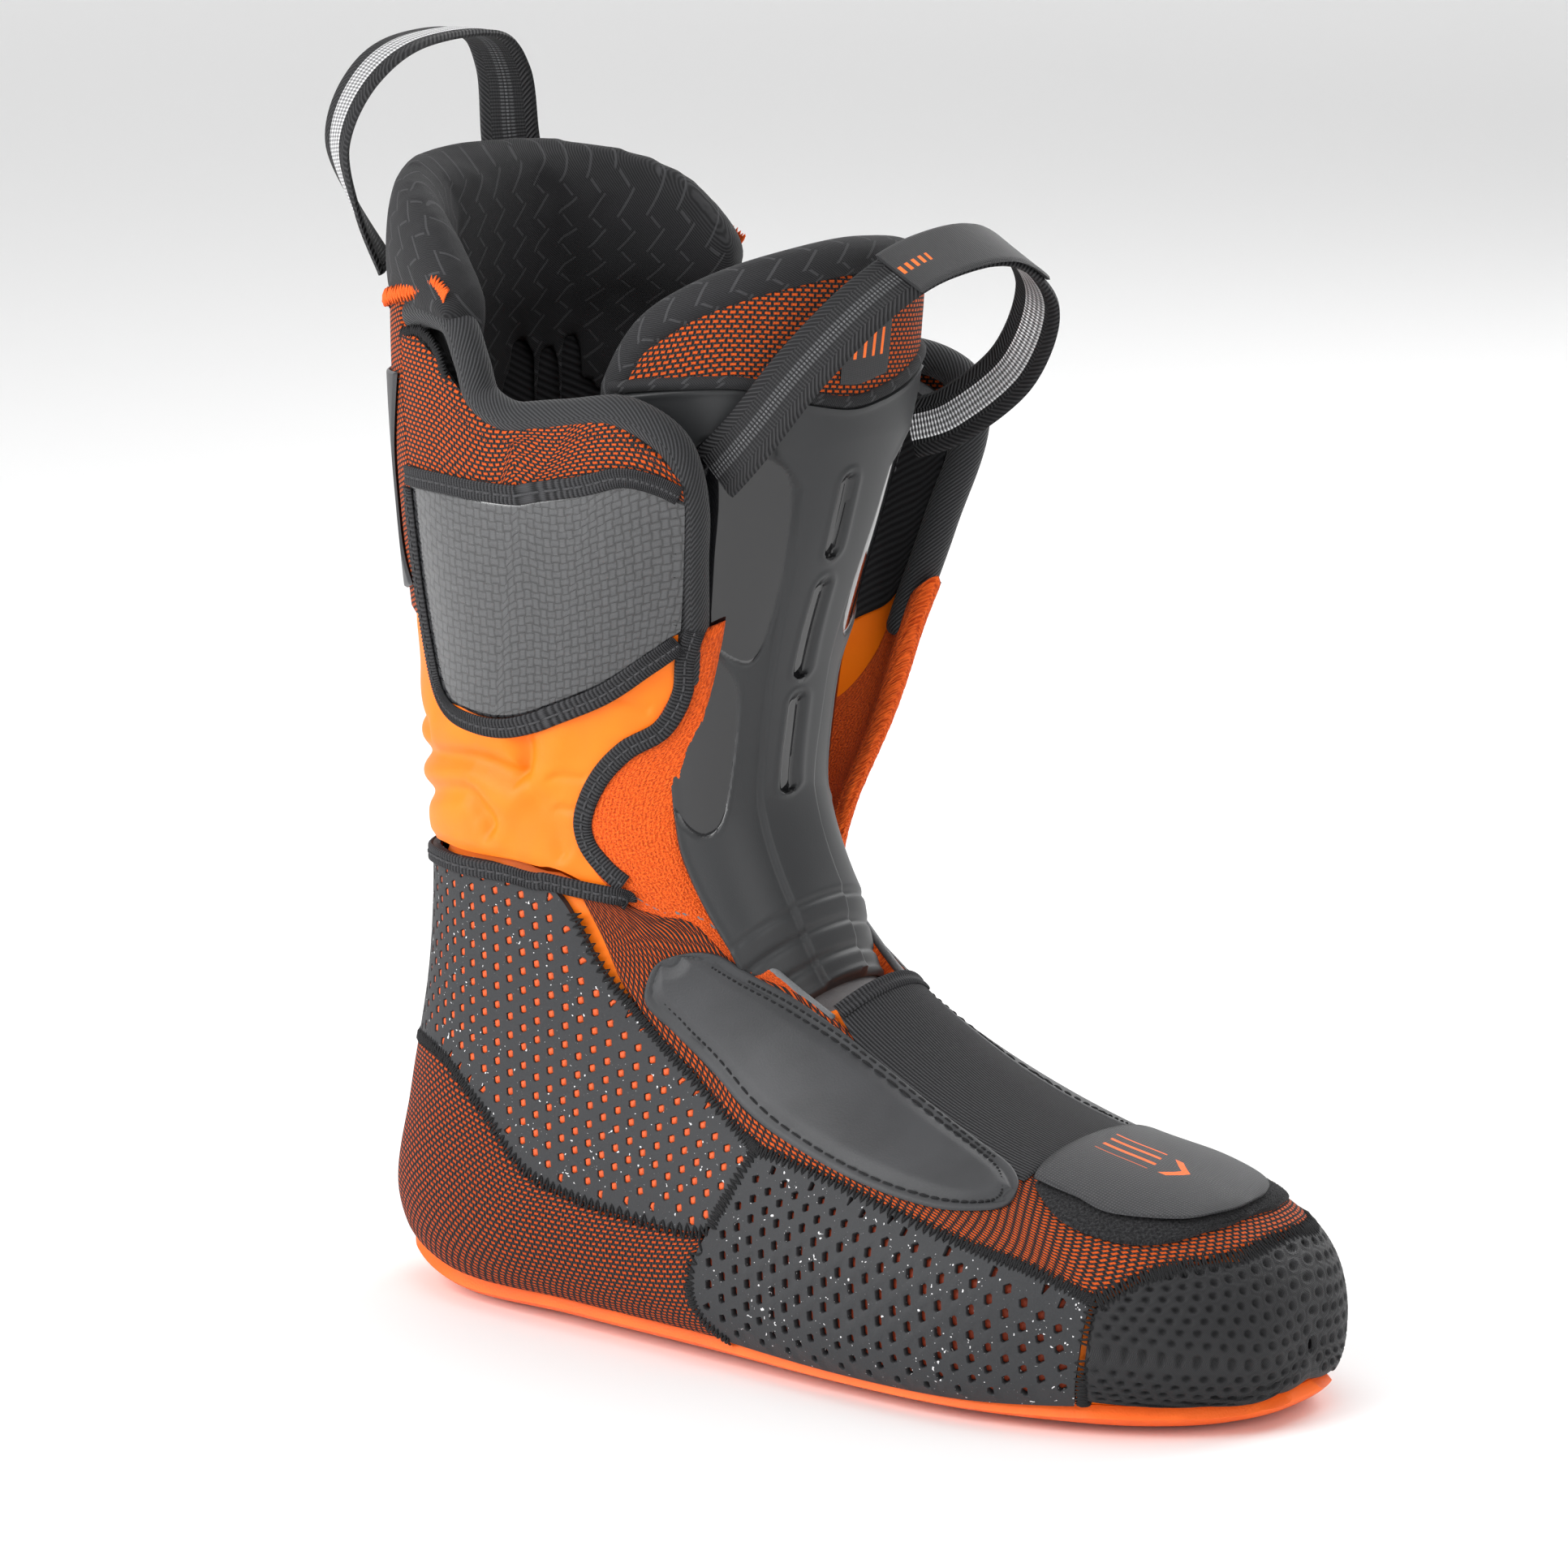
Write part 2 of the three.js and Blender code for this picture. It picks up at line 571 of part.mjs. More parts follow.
function footOverlays() {
  for (const [side, place] of SIDES) {
    const inside = [[48, 9.4], [45, 8.8], [38, 8.1], [31, 7.1], [27, 6.1], [34, 5.1]];
    const outside = [[60, 9.8], [60, 9.1], [57, 8.4], [60, 7.3], [58, 6.2], [48, 5]];
    addPanel('foot', `eyestay_${side}`, 'leather', [place(inside), place(outside)], OVERLAY_LAYER, [10, 2]);
    const liningTop = [[28, 8.05], [36, 8.95], [46, 10.1], [67, 10.95], [87, 11.75], [103, 12.25]];
    const liningFoot = [[31, 7.4], [42, 7.8], [56, 8.3], [74, 8.9], [90, 9.4], [104, 9.8]];
    addPanel('foot', `throat_lining_${side}`, 'terry', [place(liningTop), place(liningFoot)],
      LINING_LAYER, [8, 3]);
  }
  const elastic = [[23, 7.9], [26, 7.1], [23, 6.1], [29, 5.05]];
  addPanel('foot', 'instep_elastic', 'elastic', [mirrored(elastic), elastic], OVERLAY_LAYER, [6, 6]);
  const patch = [[30, 4.75], [44, 4.1], [42, 3.1], [26, 2.65]];
  addPanel('foot', 'toe_loop_patch', 'twill', [mirrored(patch), patch], OVERLAY_LAYER, [5, 6]);
  const tape = [[66, 10.98], [87, 11.75], [103, 12.25], [130, 12.7], [180, 12.98]];
  addTape('foot', 'ankle_tape', 'tape', around(tape), TAPE_WIDTH, OVERLAY_LAYER, 24);
}

function toeFlap() {
  const flap = [[30, 4.85], [35, 4.2], [36, 3.5], [25, 2.85]];
  addPanel('toe_flap', 'toe_flap', 'leather', [mirrored(flap), flap], TOP_LAYER, [5, 6]);
}

// ---------------------------------------------------------------- ankle and cuff
function ankle() {
  const foot = [[50, 10.6], [67, 11.27], [87, 12.07], [103, 12.55], [130, 13], [180, 13.3]];
  const top = [[50, 11.55], [67, 11.93], [87, 12.52], [103, 12.97], [130, 13.33], [180, 13.57]];
  addPanel('foot', 'ankle_bellows', 'foam_orange', [around(foot), around(top)], FOAM_LAYER, [20, 1]);
  const foamFoot = [[72, 12.15], [87, 12.6], [103, 13.05], [130, 13.4], [155, 13.55], [180, 13.65]];
  const foamTop = [[64, 13.25], [80, 13.2], [97, 13.3], [122, 13.8], [150, 14.2], [180, 14.2]];
  addPanel('cuff', 'ankle_foam', 'foam_orange', [around(foamFoot), around(foamTop)], FOAM_LAYER, [20, 2]);
  for (const [side, place] of SIDES) {
    const back = [[69, 12.05], [67, 12.5], [61, 13.15]];
    const front = [[50, 11.65], [51, 12.4], [54, 13.1]];
    addPanel('cuff', `terry_wing_${side}`, 'terry', [place(front), place(back)], [-WING_WALL, 0], [3, 3]);
    const edge = [[56, 13.2], [56, 12.85], [62, 12.7], [72, 12.65], [77, 12.5], [76, 12.3]];
    addTape('cuff', `edge_tape_${side}`, 'tape', place(edge), TAPE_WIDTH / 2,
      [SKIN_GAP, SKIN_GAP + OVERLAY], 10);
  }
}

function cuffRear() {
  const start = HINGE_ANGLE + HINGE_GAP;
  const foamTop = 16.75;
  const line = (angle, k) => around([[angle, k], [180, k]]);
  const seam = 0.1;
  addPanel('cuff', 'cuff_rear_foam', 'foam_grey', [line(start, REAR_FOOT), line(start, foamTop)],
    FOAM_LAYER, [12, 4]);
  addPanel('cuff', 'rear_knit', 'knit', [line(start, REAR_FOOT + seam), line(start, foamTop - seam)],
    SKIN_LAYER, [12, 4]);
  addPanel('cuff', 'spine_plate', 'plastic', [line(150, 14.6), line(140, 16.3)], OVERLAY_LAYER, [8, 3]);
  addPanel('cuff', 'cuff_rear_lining', 'twill', [line(start, 13.75), line(start, foamTop - seam)],
    LINING_LAYER, [12, 4]);
  const collarFoot = [[108, 16.98], [125, 16.93], [150, 16.88], [180, 16.85]];
  const collarTop = [[110, 17.2], [125, 17.6], [150, 17.9], [180, 18]];
  addPanel('cuff', 'collar_pad', 'twill', [around(collarFoot), around(collarTop)],
    [-COLLAR_INSIDE, COLLAR_OUTSIDE], [18, 2]);
}

// ---------------------------------------------------------------- the two flaps
function flap(side, place) {
  const body = `${side}_flap`;
  const rear = HINGE_ANGLE - HINGE_GAP;
  const foamFoot = [[68, 13.75], [79, 13.6], [97, 13.7], [113, 13.95], [rear, 14.25]];
  const foamTop = [[71, 14.95], [81, 15.28], [95, 15.42], [111, 15.9], [rear, 16.15]];
  addPanel(body, `flap_foam_${side}`, 'foam_grey', [place(foamFoot), place(foamTop)], FOAM_LAYER, [6, 4]);
  addPanel(body, `flap_lining_${side}`, 'mesh_black', [place(foamFoot), place(foamTop)],
    LINING_LAYER, [6, 4]);
  const plateFoot = [[67, 13.85], [79, 13.65], [97, 13.72], [112, 13.98], [122, 14.4]];
  const plateTop = [[67, 14.75], [79, 14.92], [97, 15.02], [112, 15.2], [122, 15.35]];
  addPanel(body, `flap_plate_${side}`, 'composite', [place(plateFoot), place(plateTop)],
    PLATE_LAYER, [8, 4]);
  const knitFoot = [[70, 14.93], [79, 15.04], [97, 15.14], [112, 15.32], [rear, 15.5]];
  const knitTop = [[76, 15.1], [82, 15.3], [96, 15.45], [111, 15.9], [rear, 16.15]];
  addPanel(body, `flap_knit_${side}`, 'knit', [place(knitFoot), place(knitTop)], SKIN_LAYER, [6, 1]);
  const edge = [[61, 13.65], [61, 14.3], [62, 14.8], [65, 15.15], [71, 15.42], [80, 15.62], [93, 15.76],
    [102, 16.02], [113, 16.3], [rear, 16.5]];
  addRod(body, `flap_binding_${side}`, 'twill', place(edge), BINDING_RADIUS, -3, 18);
  const tapeTop = [[68, 14.86], [79, 14.98], [97, 15.08], [112, 15.26], [121, 15.4]];
  addTape(body, `flap_tape_upper_${side}`, 'tape', place(tapeTop), TAPE_WIDTH, PLATE_TAPE_LAYER, 8);
  const tapeFoot = [[66, 13.9], [70, 13.7], [79, 13.56], [97, 13.66], [112, 13.92], [120, 14.2]];
  addTape(body, `flap_tape_lower_${side}`, 'tape', place(tapeFoot), TAPE_WIDTH, PLATE_TAPE_LAYER, 10);
}

// ---------------------------------------------------------------- tongue
const TONGUE_FOOT = 9.15; // station where the swinging part of the tongue starts
const TONGUE_SHELL_LAYER = [TONGUE_SKIN_GAP, TONGUE_SKIN_GAP + TONGUE_SHELL];
const TONGUE_SKIN_LAYER = [TONGUE_SKIN_GAP, TONGUE_SKIN_GAP + SKIN];

function tongue() {
  const base = [[64, 6.9], [66, 7.8], [66, TONGUE_FOOT - 0.35]];
  addPanel('foot', 'tongue_base', 'foam_grey', [mirrored(base), base], [-TONGUE_PAD, 0], [4, 6], onTongue);
  const pad = [[68, TONGUE_FOOT], [70, 10.5], [72, 12], [74, 13.5], [75, 15], [72, 15.8], [50, 16.55]];
  addPanel('tongue', 'tongue_pad', 'foam_grey', [mirrored(pad), pad], [-TONGUE_PAD, 0], [12, 8], onTongue);
  const shell = [[64, TONGUE_FOOT], [62, 10.5], [62, 12], [66, 13.5], [68, 14.6], [60, 15.2]];
  addPanel('tongue', 'tongue_shell', 'plastic', [mirrored(shell), shell], TONGUE_SHELL_LAYER, [10, 10],
    onTongue);
  const knitFoot = [[70, 15.95], [40, 15.82], [0, 15.65], [-40, 15.82], [-70, 15.95]];
  const knitTop = [[56, 16.3], [34, 16.48], [0, 16.55], [-34, 16.48], [-56, 16.3]];
  addPanel('tongue', 'tongue_knit', 'knit', [knitFoot, knitTop], TONGUE_SKIN_LAYER, [12, 2], onTongue);
  const piping = [[70, 15.72], [40, 15.58], [0, 15.42], [-40, 15.58], [-70, 15.72]];
  const pipingHeight = TONGUE_SKIN_GAP + PIPING_RADIUS;
  addRod('tongue', 'tongue_piping', 'twill', piping, PIPING_RADIUS, pipingHeight, 12, onTongue);
  const rim = [[84, 15], [83, 15.9], [62, 16.75], [32, 17.02], [0, 17.1], [-32, 17.02], [-62, 16.75],
    [-83, 15.9], [-84, 15]];
  addRod('tongue', 'tongue_rim', 'twill', rim, RIM_RADIUS, -3, 18, onTongue);
  const labelBase = TONGUE_SKIN_GAP + SKIN + OVERLAY_GAP;
  const label = [[[-6, 15.8], [14, 15.8]], [[-6, 16.45], [14, 16.45]]];
  addPanel('tongue', 'tongue_label', 'tape', label, [labelBase, labelBase + OVERLAY], [2, 2], onTongue);
  const tabBase = TONGUE_SKIN_GAP + TONGUE_SHELL + OVERLAY_GAP;
  for (const [side, place] of SIDES) {
    const tab = [[[50, 14.5], [62, 14.5]], [[48, 15.1], [58, 15.1]]].map(place);
    addPanel('tongue', `tongue_loop_tab_${side}`, 'tape', tab, [tabBase, tabBase + OVERLAY], [2, 2],
      onTongue);
  }
}

// ---------------------------------------------------------------- pull loops
const LOOP_FACES = [-WEBBING / 2, WEBBING / 2];

function tongueLoop() {
  const lift = TONGUE_SKIN_GAP + TONGUE_SHELL + OVERLAY_GAP + OVERLAY + LOOP_CLEARANCE + WEBBING;
  const start = onTongue([-60, 15], lift);
  const end = onTongue([57, 15], lift);
  const from = (anchor, x, y, z) => anchor.clone().add(new THREE.Vector3(x, y, z));
  const route = [start, from(start, 11, 0, 11), from(start, 24, 7, 30), from(start, 35, 22, 47),
    from(start, 40, 42, 55), from(end, 43, -22, 55), from(end, 43, -3, 41), from(end, 31, 4, 20),
    from(end, 13, 2, 5), end];
  const width = new THREE.Vector3(0.86, 0, -0.5);
  const directions = [width, width, width];
  addStrap('tongue_loop', 'tongue_loop_webbing', 'webbing', route, directions, WEBBING_WIDTH,
    LOOP_FACES, [0, 1], 20);
  const sleeve = [-WEBBING / 2 - OVERLAY_GAP - OVERLAY, -WEBBING / 2 - OVERLAY_GAP];
  addStrap('tongue_loop', 'tongue_loop_sleeve', 'tape', route, directions, WEBBING_WIDTH,
    sleeve, [0.38, 0.62], 6);
}

function rearLoop() {
  const lift = COLLAR_OUTSIDE + LOOP_CLEARANCE + WEBBING;
  const foot = onLast([-157, 17.05], lift);
  const inner = onLast([157, 17.05], lift);
  const from = (anchor, x, y, z) => anchor.clone().add(new THREE.Vector3(x, y, z));
  const route = [foot, from(foot, -6, -5, 16), from(foot, -11, -7, 34), from(foot, -9, 0, 50),
    from(foot, -4, 14, 60), from(inner, -4, -14, 60), from(inner, -6, 0, 49), from(inner, -6, 3, 30),
    from(inner, -3, 2, 13), inner];
  const directions = [[0.4, -0.9, 0], [1, 0, 0], [0.4, 0.9, 0]].map((d) => new THREE.Vector3(...d));
  addStrap('rear_loop', 'rear_loop_webbing', 'webbing', route, directions, WEBBING_WIDTH,
    LOOP_FACES, [0, 1], 20);
}

toeCap();
footOverlays();
toeFlap();
ankle();
cuffRear();
SIDES.forEach(([side, place]) => flap(side, place));
tongue();
tongueLoop();
rearLoop();

const group = new THREE.Group();
group.name = 'ski_boot_liner';
for (const pieces of Object.values(bodies)) {
  group.add(pieces);
}
group.updateMatrixWorld(true);
const box = new THREE.Box3().setFromObject(group);
const middle = box.getCenter(new THREE.Vector3());
group.position.set(-middle.x, -middle.y, -box.min.z);
group.updateMatrixWorld(true);

export default group;
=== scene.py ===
# %% [markdown]
# # The inner boot of a ski touring boot
# This lesson dresses a imported CAD model. The CAD bodies carry the motion: every piece made here
# rides on one of them, or, where it is given a bend between two, stays where it was built. The piece
# is a right foot's liner: moulded foam, knit, perforated foam, a plastic tongue and woven loops.

# %% Load the frame
import json
import math
import bmesh
import bpy
import numpy as np
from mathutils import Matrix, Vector
from mathutils.kdtree import KDTree

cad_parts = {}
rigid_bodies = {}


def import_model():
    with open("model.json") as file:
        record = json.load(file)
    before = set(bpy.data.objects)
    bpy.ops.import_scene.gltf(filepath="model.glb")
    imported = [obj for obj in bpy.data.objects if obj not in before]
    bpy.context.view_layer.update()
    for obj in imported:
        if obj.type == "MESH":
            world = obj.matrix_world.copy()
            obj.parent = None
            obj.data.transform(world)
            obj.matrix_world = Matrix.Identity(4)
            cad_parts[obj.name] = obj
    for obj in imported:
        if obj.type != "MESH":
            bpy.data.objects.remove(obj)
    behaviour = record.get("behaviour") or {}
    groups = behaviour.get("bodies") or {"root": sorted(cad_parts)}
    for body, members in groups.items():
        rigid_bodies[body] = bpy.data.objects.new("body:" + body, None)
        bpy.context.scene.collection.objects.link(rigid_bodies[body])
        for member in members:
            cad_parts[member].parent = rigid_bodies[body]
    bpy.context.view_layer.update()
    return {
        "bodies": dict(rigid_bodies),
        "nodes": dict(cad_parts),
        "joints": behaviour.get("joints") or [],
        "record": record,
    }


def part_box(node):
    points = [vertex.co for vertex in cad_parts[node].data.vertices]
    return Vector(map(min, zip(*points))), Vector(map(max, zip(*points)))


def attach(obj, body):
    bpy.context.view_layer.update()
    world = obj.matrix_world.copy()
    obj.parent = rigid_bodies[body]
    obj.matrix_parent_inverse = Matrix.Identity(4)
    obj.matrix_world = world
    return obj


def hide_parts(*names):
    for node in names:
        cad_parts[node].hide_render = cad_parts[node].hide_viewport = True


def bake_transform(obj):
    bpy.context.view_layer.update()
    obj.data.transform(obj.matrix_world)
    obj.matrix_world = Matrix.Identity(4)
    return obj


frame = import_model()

# %% [markdown]
# ## Camera, light and floor
# A long lens keeps the boot's proportions. Five broad soft lights and a pale floor show cloth
# and gloss without hard shadows.

# %% Camera and stage
MM = 0.001
LOOK_AT = Vector((-14.65, -6.24, 152)) * MM
CAMERA_AWAY = 2.0
CAMERA_TURN = math.radians(36)
CAMERA_RISE = math.radians(12)

camera_data = bpy.data.cameras.new("camera")
camera_data.lens = 169.6
camera_data.sensor_width = 36
camera_data.clip_end = 20
camera = bpy.data.objects.new("camera", camera_data)
view_from = Vector((math.sin(CAMERA_TURN) * math.cos(CAMERA_RISE),
                    -math.cos(CAMERA_TURN) * math.cos(CAMERA_RISE), math.sin(CAMERA_RISE)))
camera.location = LOOK_AT + view_from * CAMERA_AWAY
camera.rotation_euler = (-view_from).to_track_quat("-Z", "Y").to_euler()
bpy.context.scene.collection.objects.link(camera)
bpy.context.scene.camera = camera


def area_light(name, place, size, power, colour=(1, 1, 1)):
    """A soft box that looks at the boot."""
    data = bpy.data.lights.new(name, "AREA")
    data.shape = "RECTANGLE"
    data.size, data.size_y = size
    data.energy = power
    data.color = colour
    lamp = bpy.data.objects.new(name, data)
    lamp.location = place
    lamp.rotation_euler = (LOOK_AT - Vector(place)).to_track_quat("-Z", "Y").to_euler()
    bpy.context.scene.collection.objects.link(lamp)


area_light("key_light", (-0.5, -1.5, 1.3), (0.9, 1.2), 22)
area_light("side_light", (-1.05, -1.35, 0.42), (0.62, 0.8), 15)
area_light("fill_light", (1.6, -0.7, 0.7), (1.2, 1.4), 11)
area_light("back_light", (0.2, 1.5, 1.2), (1.4, 1.0), 17)
area_light("top_light", (0.1, -0.1, 1.8), (1.2, 1.2), 10)
world = bpy.data.worlds.new("studio")
world.use_nodes = True
world.node_tree.nodes["Background"].inputs["Color"].default_value = (1, 1, 1, 1)
world.node_tree.nodes["Background"].inputs["Strength"].default_value = 0.42
bpy.context.scene.world = world
bpy.context.scene.view_settings.view_transform = "Standard"

# %% [markdown]
# ## The last
# A shoe is built on a last, a solid in the shape of the foot. Here it is a formula: a bent spine
# of stations from the toe round the heel to the top of the cuff, each with its own half width and
# squareness. A place on it is an angle round the spine and a station, so each pattern piece is
# drawn flat in those two numbers and then wrapped.

# %% The surface of the last
SOLE_THICKNESS = 4
LAST = np.array([
    [275, 18, 275, 16, 0.5, 8, 2.2, 2.6, 0.42], [274, 32, 273, 5, 18, 8, 2.2, 2.8, 0.42],
    [267, 43, 263, 1, 31, 7, 2.3, 3.4, 0.42], [254, 51, 248, 0, 41, 5, 2.3, 4.2, 0.42],
    [236, 56, 228, 0, 48, 3, 2.3, 4.8, 0.42], [211, 61, 198, 0, 52, 0, 2.2, 5, 0.42],
    [186, 70, 160, 0, 51, -1, 2.2, 5, 0.42], [164, 82, 112, 0, 47, 0, 2.1, 5, 0.42],
    [146, 97, 62, 0, 44, 0, 2, 4.6, 0.42], [134, 114, 16, 0, 43, 0, 2, 3.6, 0.45],
    [127, 132, -6, 16, 42, 0, 2, 2.8, 0.48], [124, 151, -4, 46, 42, 0, 2.1, 2.4, 0.5],
    [126, 171, 3, 84, 43, 0, 2.2, 2.3, 0.5], [130, 194, 6, 122, 46, 0, 2.4, 2.3, 0.5],
    [136, 220, 4, 160, 53, 1, 2.9, 2.2, 0.5], [140, 246, 0, 202, 61, 3, 3.6, 2.2, 0.5],
    [142, 268, -3, 244, 65, 4, 4, 2.2, 0.5], [144, 290, -4, 280, 65, 4, 3.8, 2.2, 0.5],
    [145, 314, -2, 313, 63, 3, 3.4, 2.2, 0.5],
], float)
TOP_STATION = len(LAST) - 1


def blend_rows(rows, place):
    """A smooth curve through rows of numbers, read at fractional row numbers."""
    top = len(rows) - 1
    place = np.clip(np.asarray(place, float), 0, top)
    i = np.minimum(place.astype(int), top - 1)
    t = (place - i)[..., None]
    a, b, c, d = (rows[np.clip(i + step, 0, top)] for step in (-1, 0, 1, 2))
    return (2 * b + (c - a) * t + (2 * a - 5 * b + 4 * c - d) * t ** 2
            + (3 * b - a - 3 * c + d) * t ** 3) / 2


def stations(k):
    """Front, under and centre points of the spine, and its half width and shift, in mm."""
    value = np.moveaxis(blend_rows(LAST, k), -1, 0)
    front_x, front_z, back_x, back_z, half, shift, square_front, square_back, middle = value
    front = np.stack([front_x, shift, front_z + SOLE_THICKNESS], -1)
    back = np.stack([back_x, shift, back_z + SOLE_THICKNESS], -1)
    return front, back, half, shift, square_front, square_back, middle[..., None]


def step(low, high, value):
    """A smooth step from 0 at low to 1 at high."""
    t = np.clip((value - low) / (high - low), 0, 1)
    return t * t * (3 - 2 * t)


def flare(angle, k):
    """The inner side of the cuff stands a little open, forwards and outwards."""
    share = step(-100, -50, -angle) * step(9.8, 12.8, k) * (angle > 0)
    return np.stack([8 * share, 14 * share, 0 * share], -1)


def last_point(angle, k):
    """A point of the last and the centre of its station."""
    angle, k = np.broadcast_arrays(np.asarray(angle, float), np.asarray(k, float))
    front, back, half, _, square_front, square_back, middle = stations(k)
    centre = back + (front - back) * middle
    cosine, sine = np.cos(np.radians(angle)), np.sin(np.radians(angle))
    forward = cosine >= 0
    square = np.where(forward, square_front, square_back)
    end = np.where(forward[..., None], front, back)
    reach = np.abs(cosine) ** (2 / square)
    side = np.sign(sine) * np.maximum(np.abs(sine), 1e-9) ** (2 / square)
    point = centre + (end - centre) * reach[..., None]
    point[..., 1] += side * half
    return point + flare(angle, k), centre + flare(angle, k)


def unit(vectors):
    return vectors / np.maximum(np.linalg.norm(vectors, axis=-1, keepdims=True), 1e-9)


def on_last(angle, k, height):
    """Above the last along its normal, below it towards the spine."""
    angle, k, height = np.broadcast_arrays(*(np.asarray(v, float) for v in (angle, k, height)))
    point, centre = last_point(angle, k)
    high = np.minimum(k + 0.06, TOP_STATION)
    low = np.maximum(high - 0.12, 0)
    around = last_point(angle + 1.5, k)[0] - last_point(angle - 1.5, k)[0]
    along = last_point(angle, high)[0] - last_point(angle, low)[0]
    normal = unit(np.cross(around, along))
    normal *= np.where(np.sum(normal * (point - centre), -1, keepdims=True) < 0, -1, 1)
    inwards = unit(centre - point)
    height = height[..., None]
    return point + np.where(height >= 0, normal * height, inwards * -height)


# %% [markdown]
# The tongue has a surface of its own, a U that lies just inside the front of the last.

# %% The surface of the tongue
# station, half width, reach, tuck and sideways shift
TONGUE = np.array([
    [6.6, 19, 16, 9.1, 0], [8.4, 22, 17, 9.1, 0], [9.4, 27, 18, 4, -3], [11, 28, 24, 6, -6],
    [12.6, 31, 30, 5, -6], [13.6, 34, 38, 3, -5], [15, 43, 50, 1, -3], [16, 48, 55, 1, -3],
    [17.4, 47, 54, 1, -3]])
TONGUE_SQUARE = 2.3


def on_tongue(angle, k, height):
    """A point of the tongue's surface, moved outwards from the middle of its section."""
    angle, k, height = np.broadcast_arrays(*(np.asarray(v, float) for v in (angle, k, height)))
    front, back, _, _, _, _, _ = stations(k)
    half, reach, tuck, aside = (np.interp(k, TONGUE[:, 0], TONGUE[:, i]) for i in (1, 2, 3, 4))
    backwards = unit(back - front)
    centre = front + backwards * (tuck + reach)[..., None]
    centre[..., 1] += aside
    depth = np.abs(np.cos(np.radians(angle))) ** (2 / TONGUE_SQUARE) * reach
    side = np.abs(np.sin(np.radians(angle))) ** (2 / TONGUE_SQUARE) * half
    point = centre - backwards * depth[..., None]
    point[..., 1] += np.sign(angle) * side
    return point + unit(point - centre) * height[..., None]


# %% [markdown]
# The CAD model was moved so that it stands centred on the origin. The same move is measured here
# from one CAD piece whose formula is known, the foam of the heel.

# %% From the last to the frame
FOAM_JOINT = 5.22
ANKLE_EDGE = [[0, 7.9], [26, 8.15], [35, 9], [44, 10.2], [67, 11.15], [87, 11.95], [103, 12.45],
              [130, 12.9], [180, 13.2]]
ring_angles = -180 + (np.arange(26) + 0.5) * 360 / 26
ring_ends = np.interp(np.abs(ring_angles), *np.array(ANKLE_EDGE).T)
ring_share = np.arange(15)[:, None] / 14
ring = on_last(ring_angles, FOAM_JOINT + (ring_ends - FOAM_JOINT) * ring_share, 0)
heel_low, heel_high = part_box("heel_foam_shell")
TO_FRAME = (np.array(heel_low + heel_high) / MM - ring.min((0, 1)) - ring.max((0, 1))) / 2
TO_FRAME[2] = 0
print("from the last to the frame", TO_FRAME.round(3), "mm")


def to_frame(points):
    """Millimetres on the last to metres in the frame."""
    return (np.asarray(points) + TO_FRAME) * MM


# %% [markdown]
# ## Pattern tools
# A cloth piece is cut flat and then laid on the last. The flat piece is a block of grid cells:
# its first two coordinates run from 0 to 1 along and across the pattern, and the third is 0 on
# the inner face and 1 on the outer one. A flat map in millimetres goes with it for the weave.

# %% Lines and blocks
STATION_TO_DEGREES = 30


def line_at(points, share):
    """A pattern line, a smooth curve through [angle, station] points."""
    rows = np.array(points, float) * (1, STATION_TO_DEGREES)
    return blend_rows(rows, np.asarray(share) * (len(rows) - 1)) / (1, STATION_TO_DEGREES)


def mirrored(points):
    return [[-angle, k] for angle, k in points]


def around(points):
    """A line from the outer side to the middle of the back, carried on to the inner side."""
    return mirrored(points) + [[angle - 360, k] for angle, k in points[-2::-1]]


def same(points):
    return points


SIDES = (("lateral", mirrored), ("medial", same))


def block(columns, rows):
    """A closed unit block of cloth as a mesh."""
    bm = bmesh.new()
    bmesh.ops.create_grid(bm, x_segments=columns, y_segments=rows, size=0.5)
    bmesh.ops.translate(bm, verts=bm.verts[:], vec=(0.5, 0.5, 0))
    raised = bmesh.ops.extrude_face_region(bm, geom=bm.faces[:], use_keep_orig=True)["geom"]
    tops = [item for item in raised if isinstance(item, bmesh.types.BMVert)]
    bmesh.ops.translate(bm, verts=tops, vec=(0, 0, 1))
    mesh = bpy.data.meshes.new("block")
    bm.to_mesh(mesh)
    bm.free()
    return mesh


def read_points(mesh):
    flat = np.empty(len(mesh.vertices) * 3, np.float32)
    mesh.vertices.foreach_get("co", flat)
    return flat.reshape(-1, 3).astype(float)


def write_points(mesh, points):
    mesh.vertices.foreach_set("co", np.asarray(points, np.float32).ravel())
    mesh.update()


def write_map(mesh, plane, name="cloth"):
    """Gives each corner the flat millimetres of its vertex."""
    index = np.empty(len(mesh.loops), np.int32)
    mesh.loops.foreach_get("vertex_index", index)
    layer = mesh.uv_layers.new(name=name)
    layer.data.foreach_set("uv", np.asarray(plane, np.float32)[index].ravel())


def close_mesh(mesh, merge=0.00003, sharp=48):
    """Welds seams and poles, turns faces outwards and keeps hard edges hard."""
    bm = bmesh.new()
    bm.from_mesh(mesh)
    bmesh.ops.remove_doubles(bm, verts=bm.verts[:], dist=merge)
    bmesh.ops.recalc_face_normals(bm, faces=bm.faces[:])
    bm.to_mesh(mesh)
    bm.free()
    mesh.shade_smooth()
    mesh.set_sharp_from_angle(angle=math.radians(sharp))


# %% [markdown]
# Each finished mesh becomes a named piece: it takes a material, follows its body or, when it is given
# a bend between two, stays where it was built, and says which CAD pieces it stands for.

# %% Pieces
triangles_made = 0


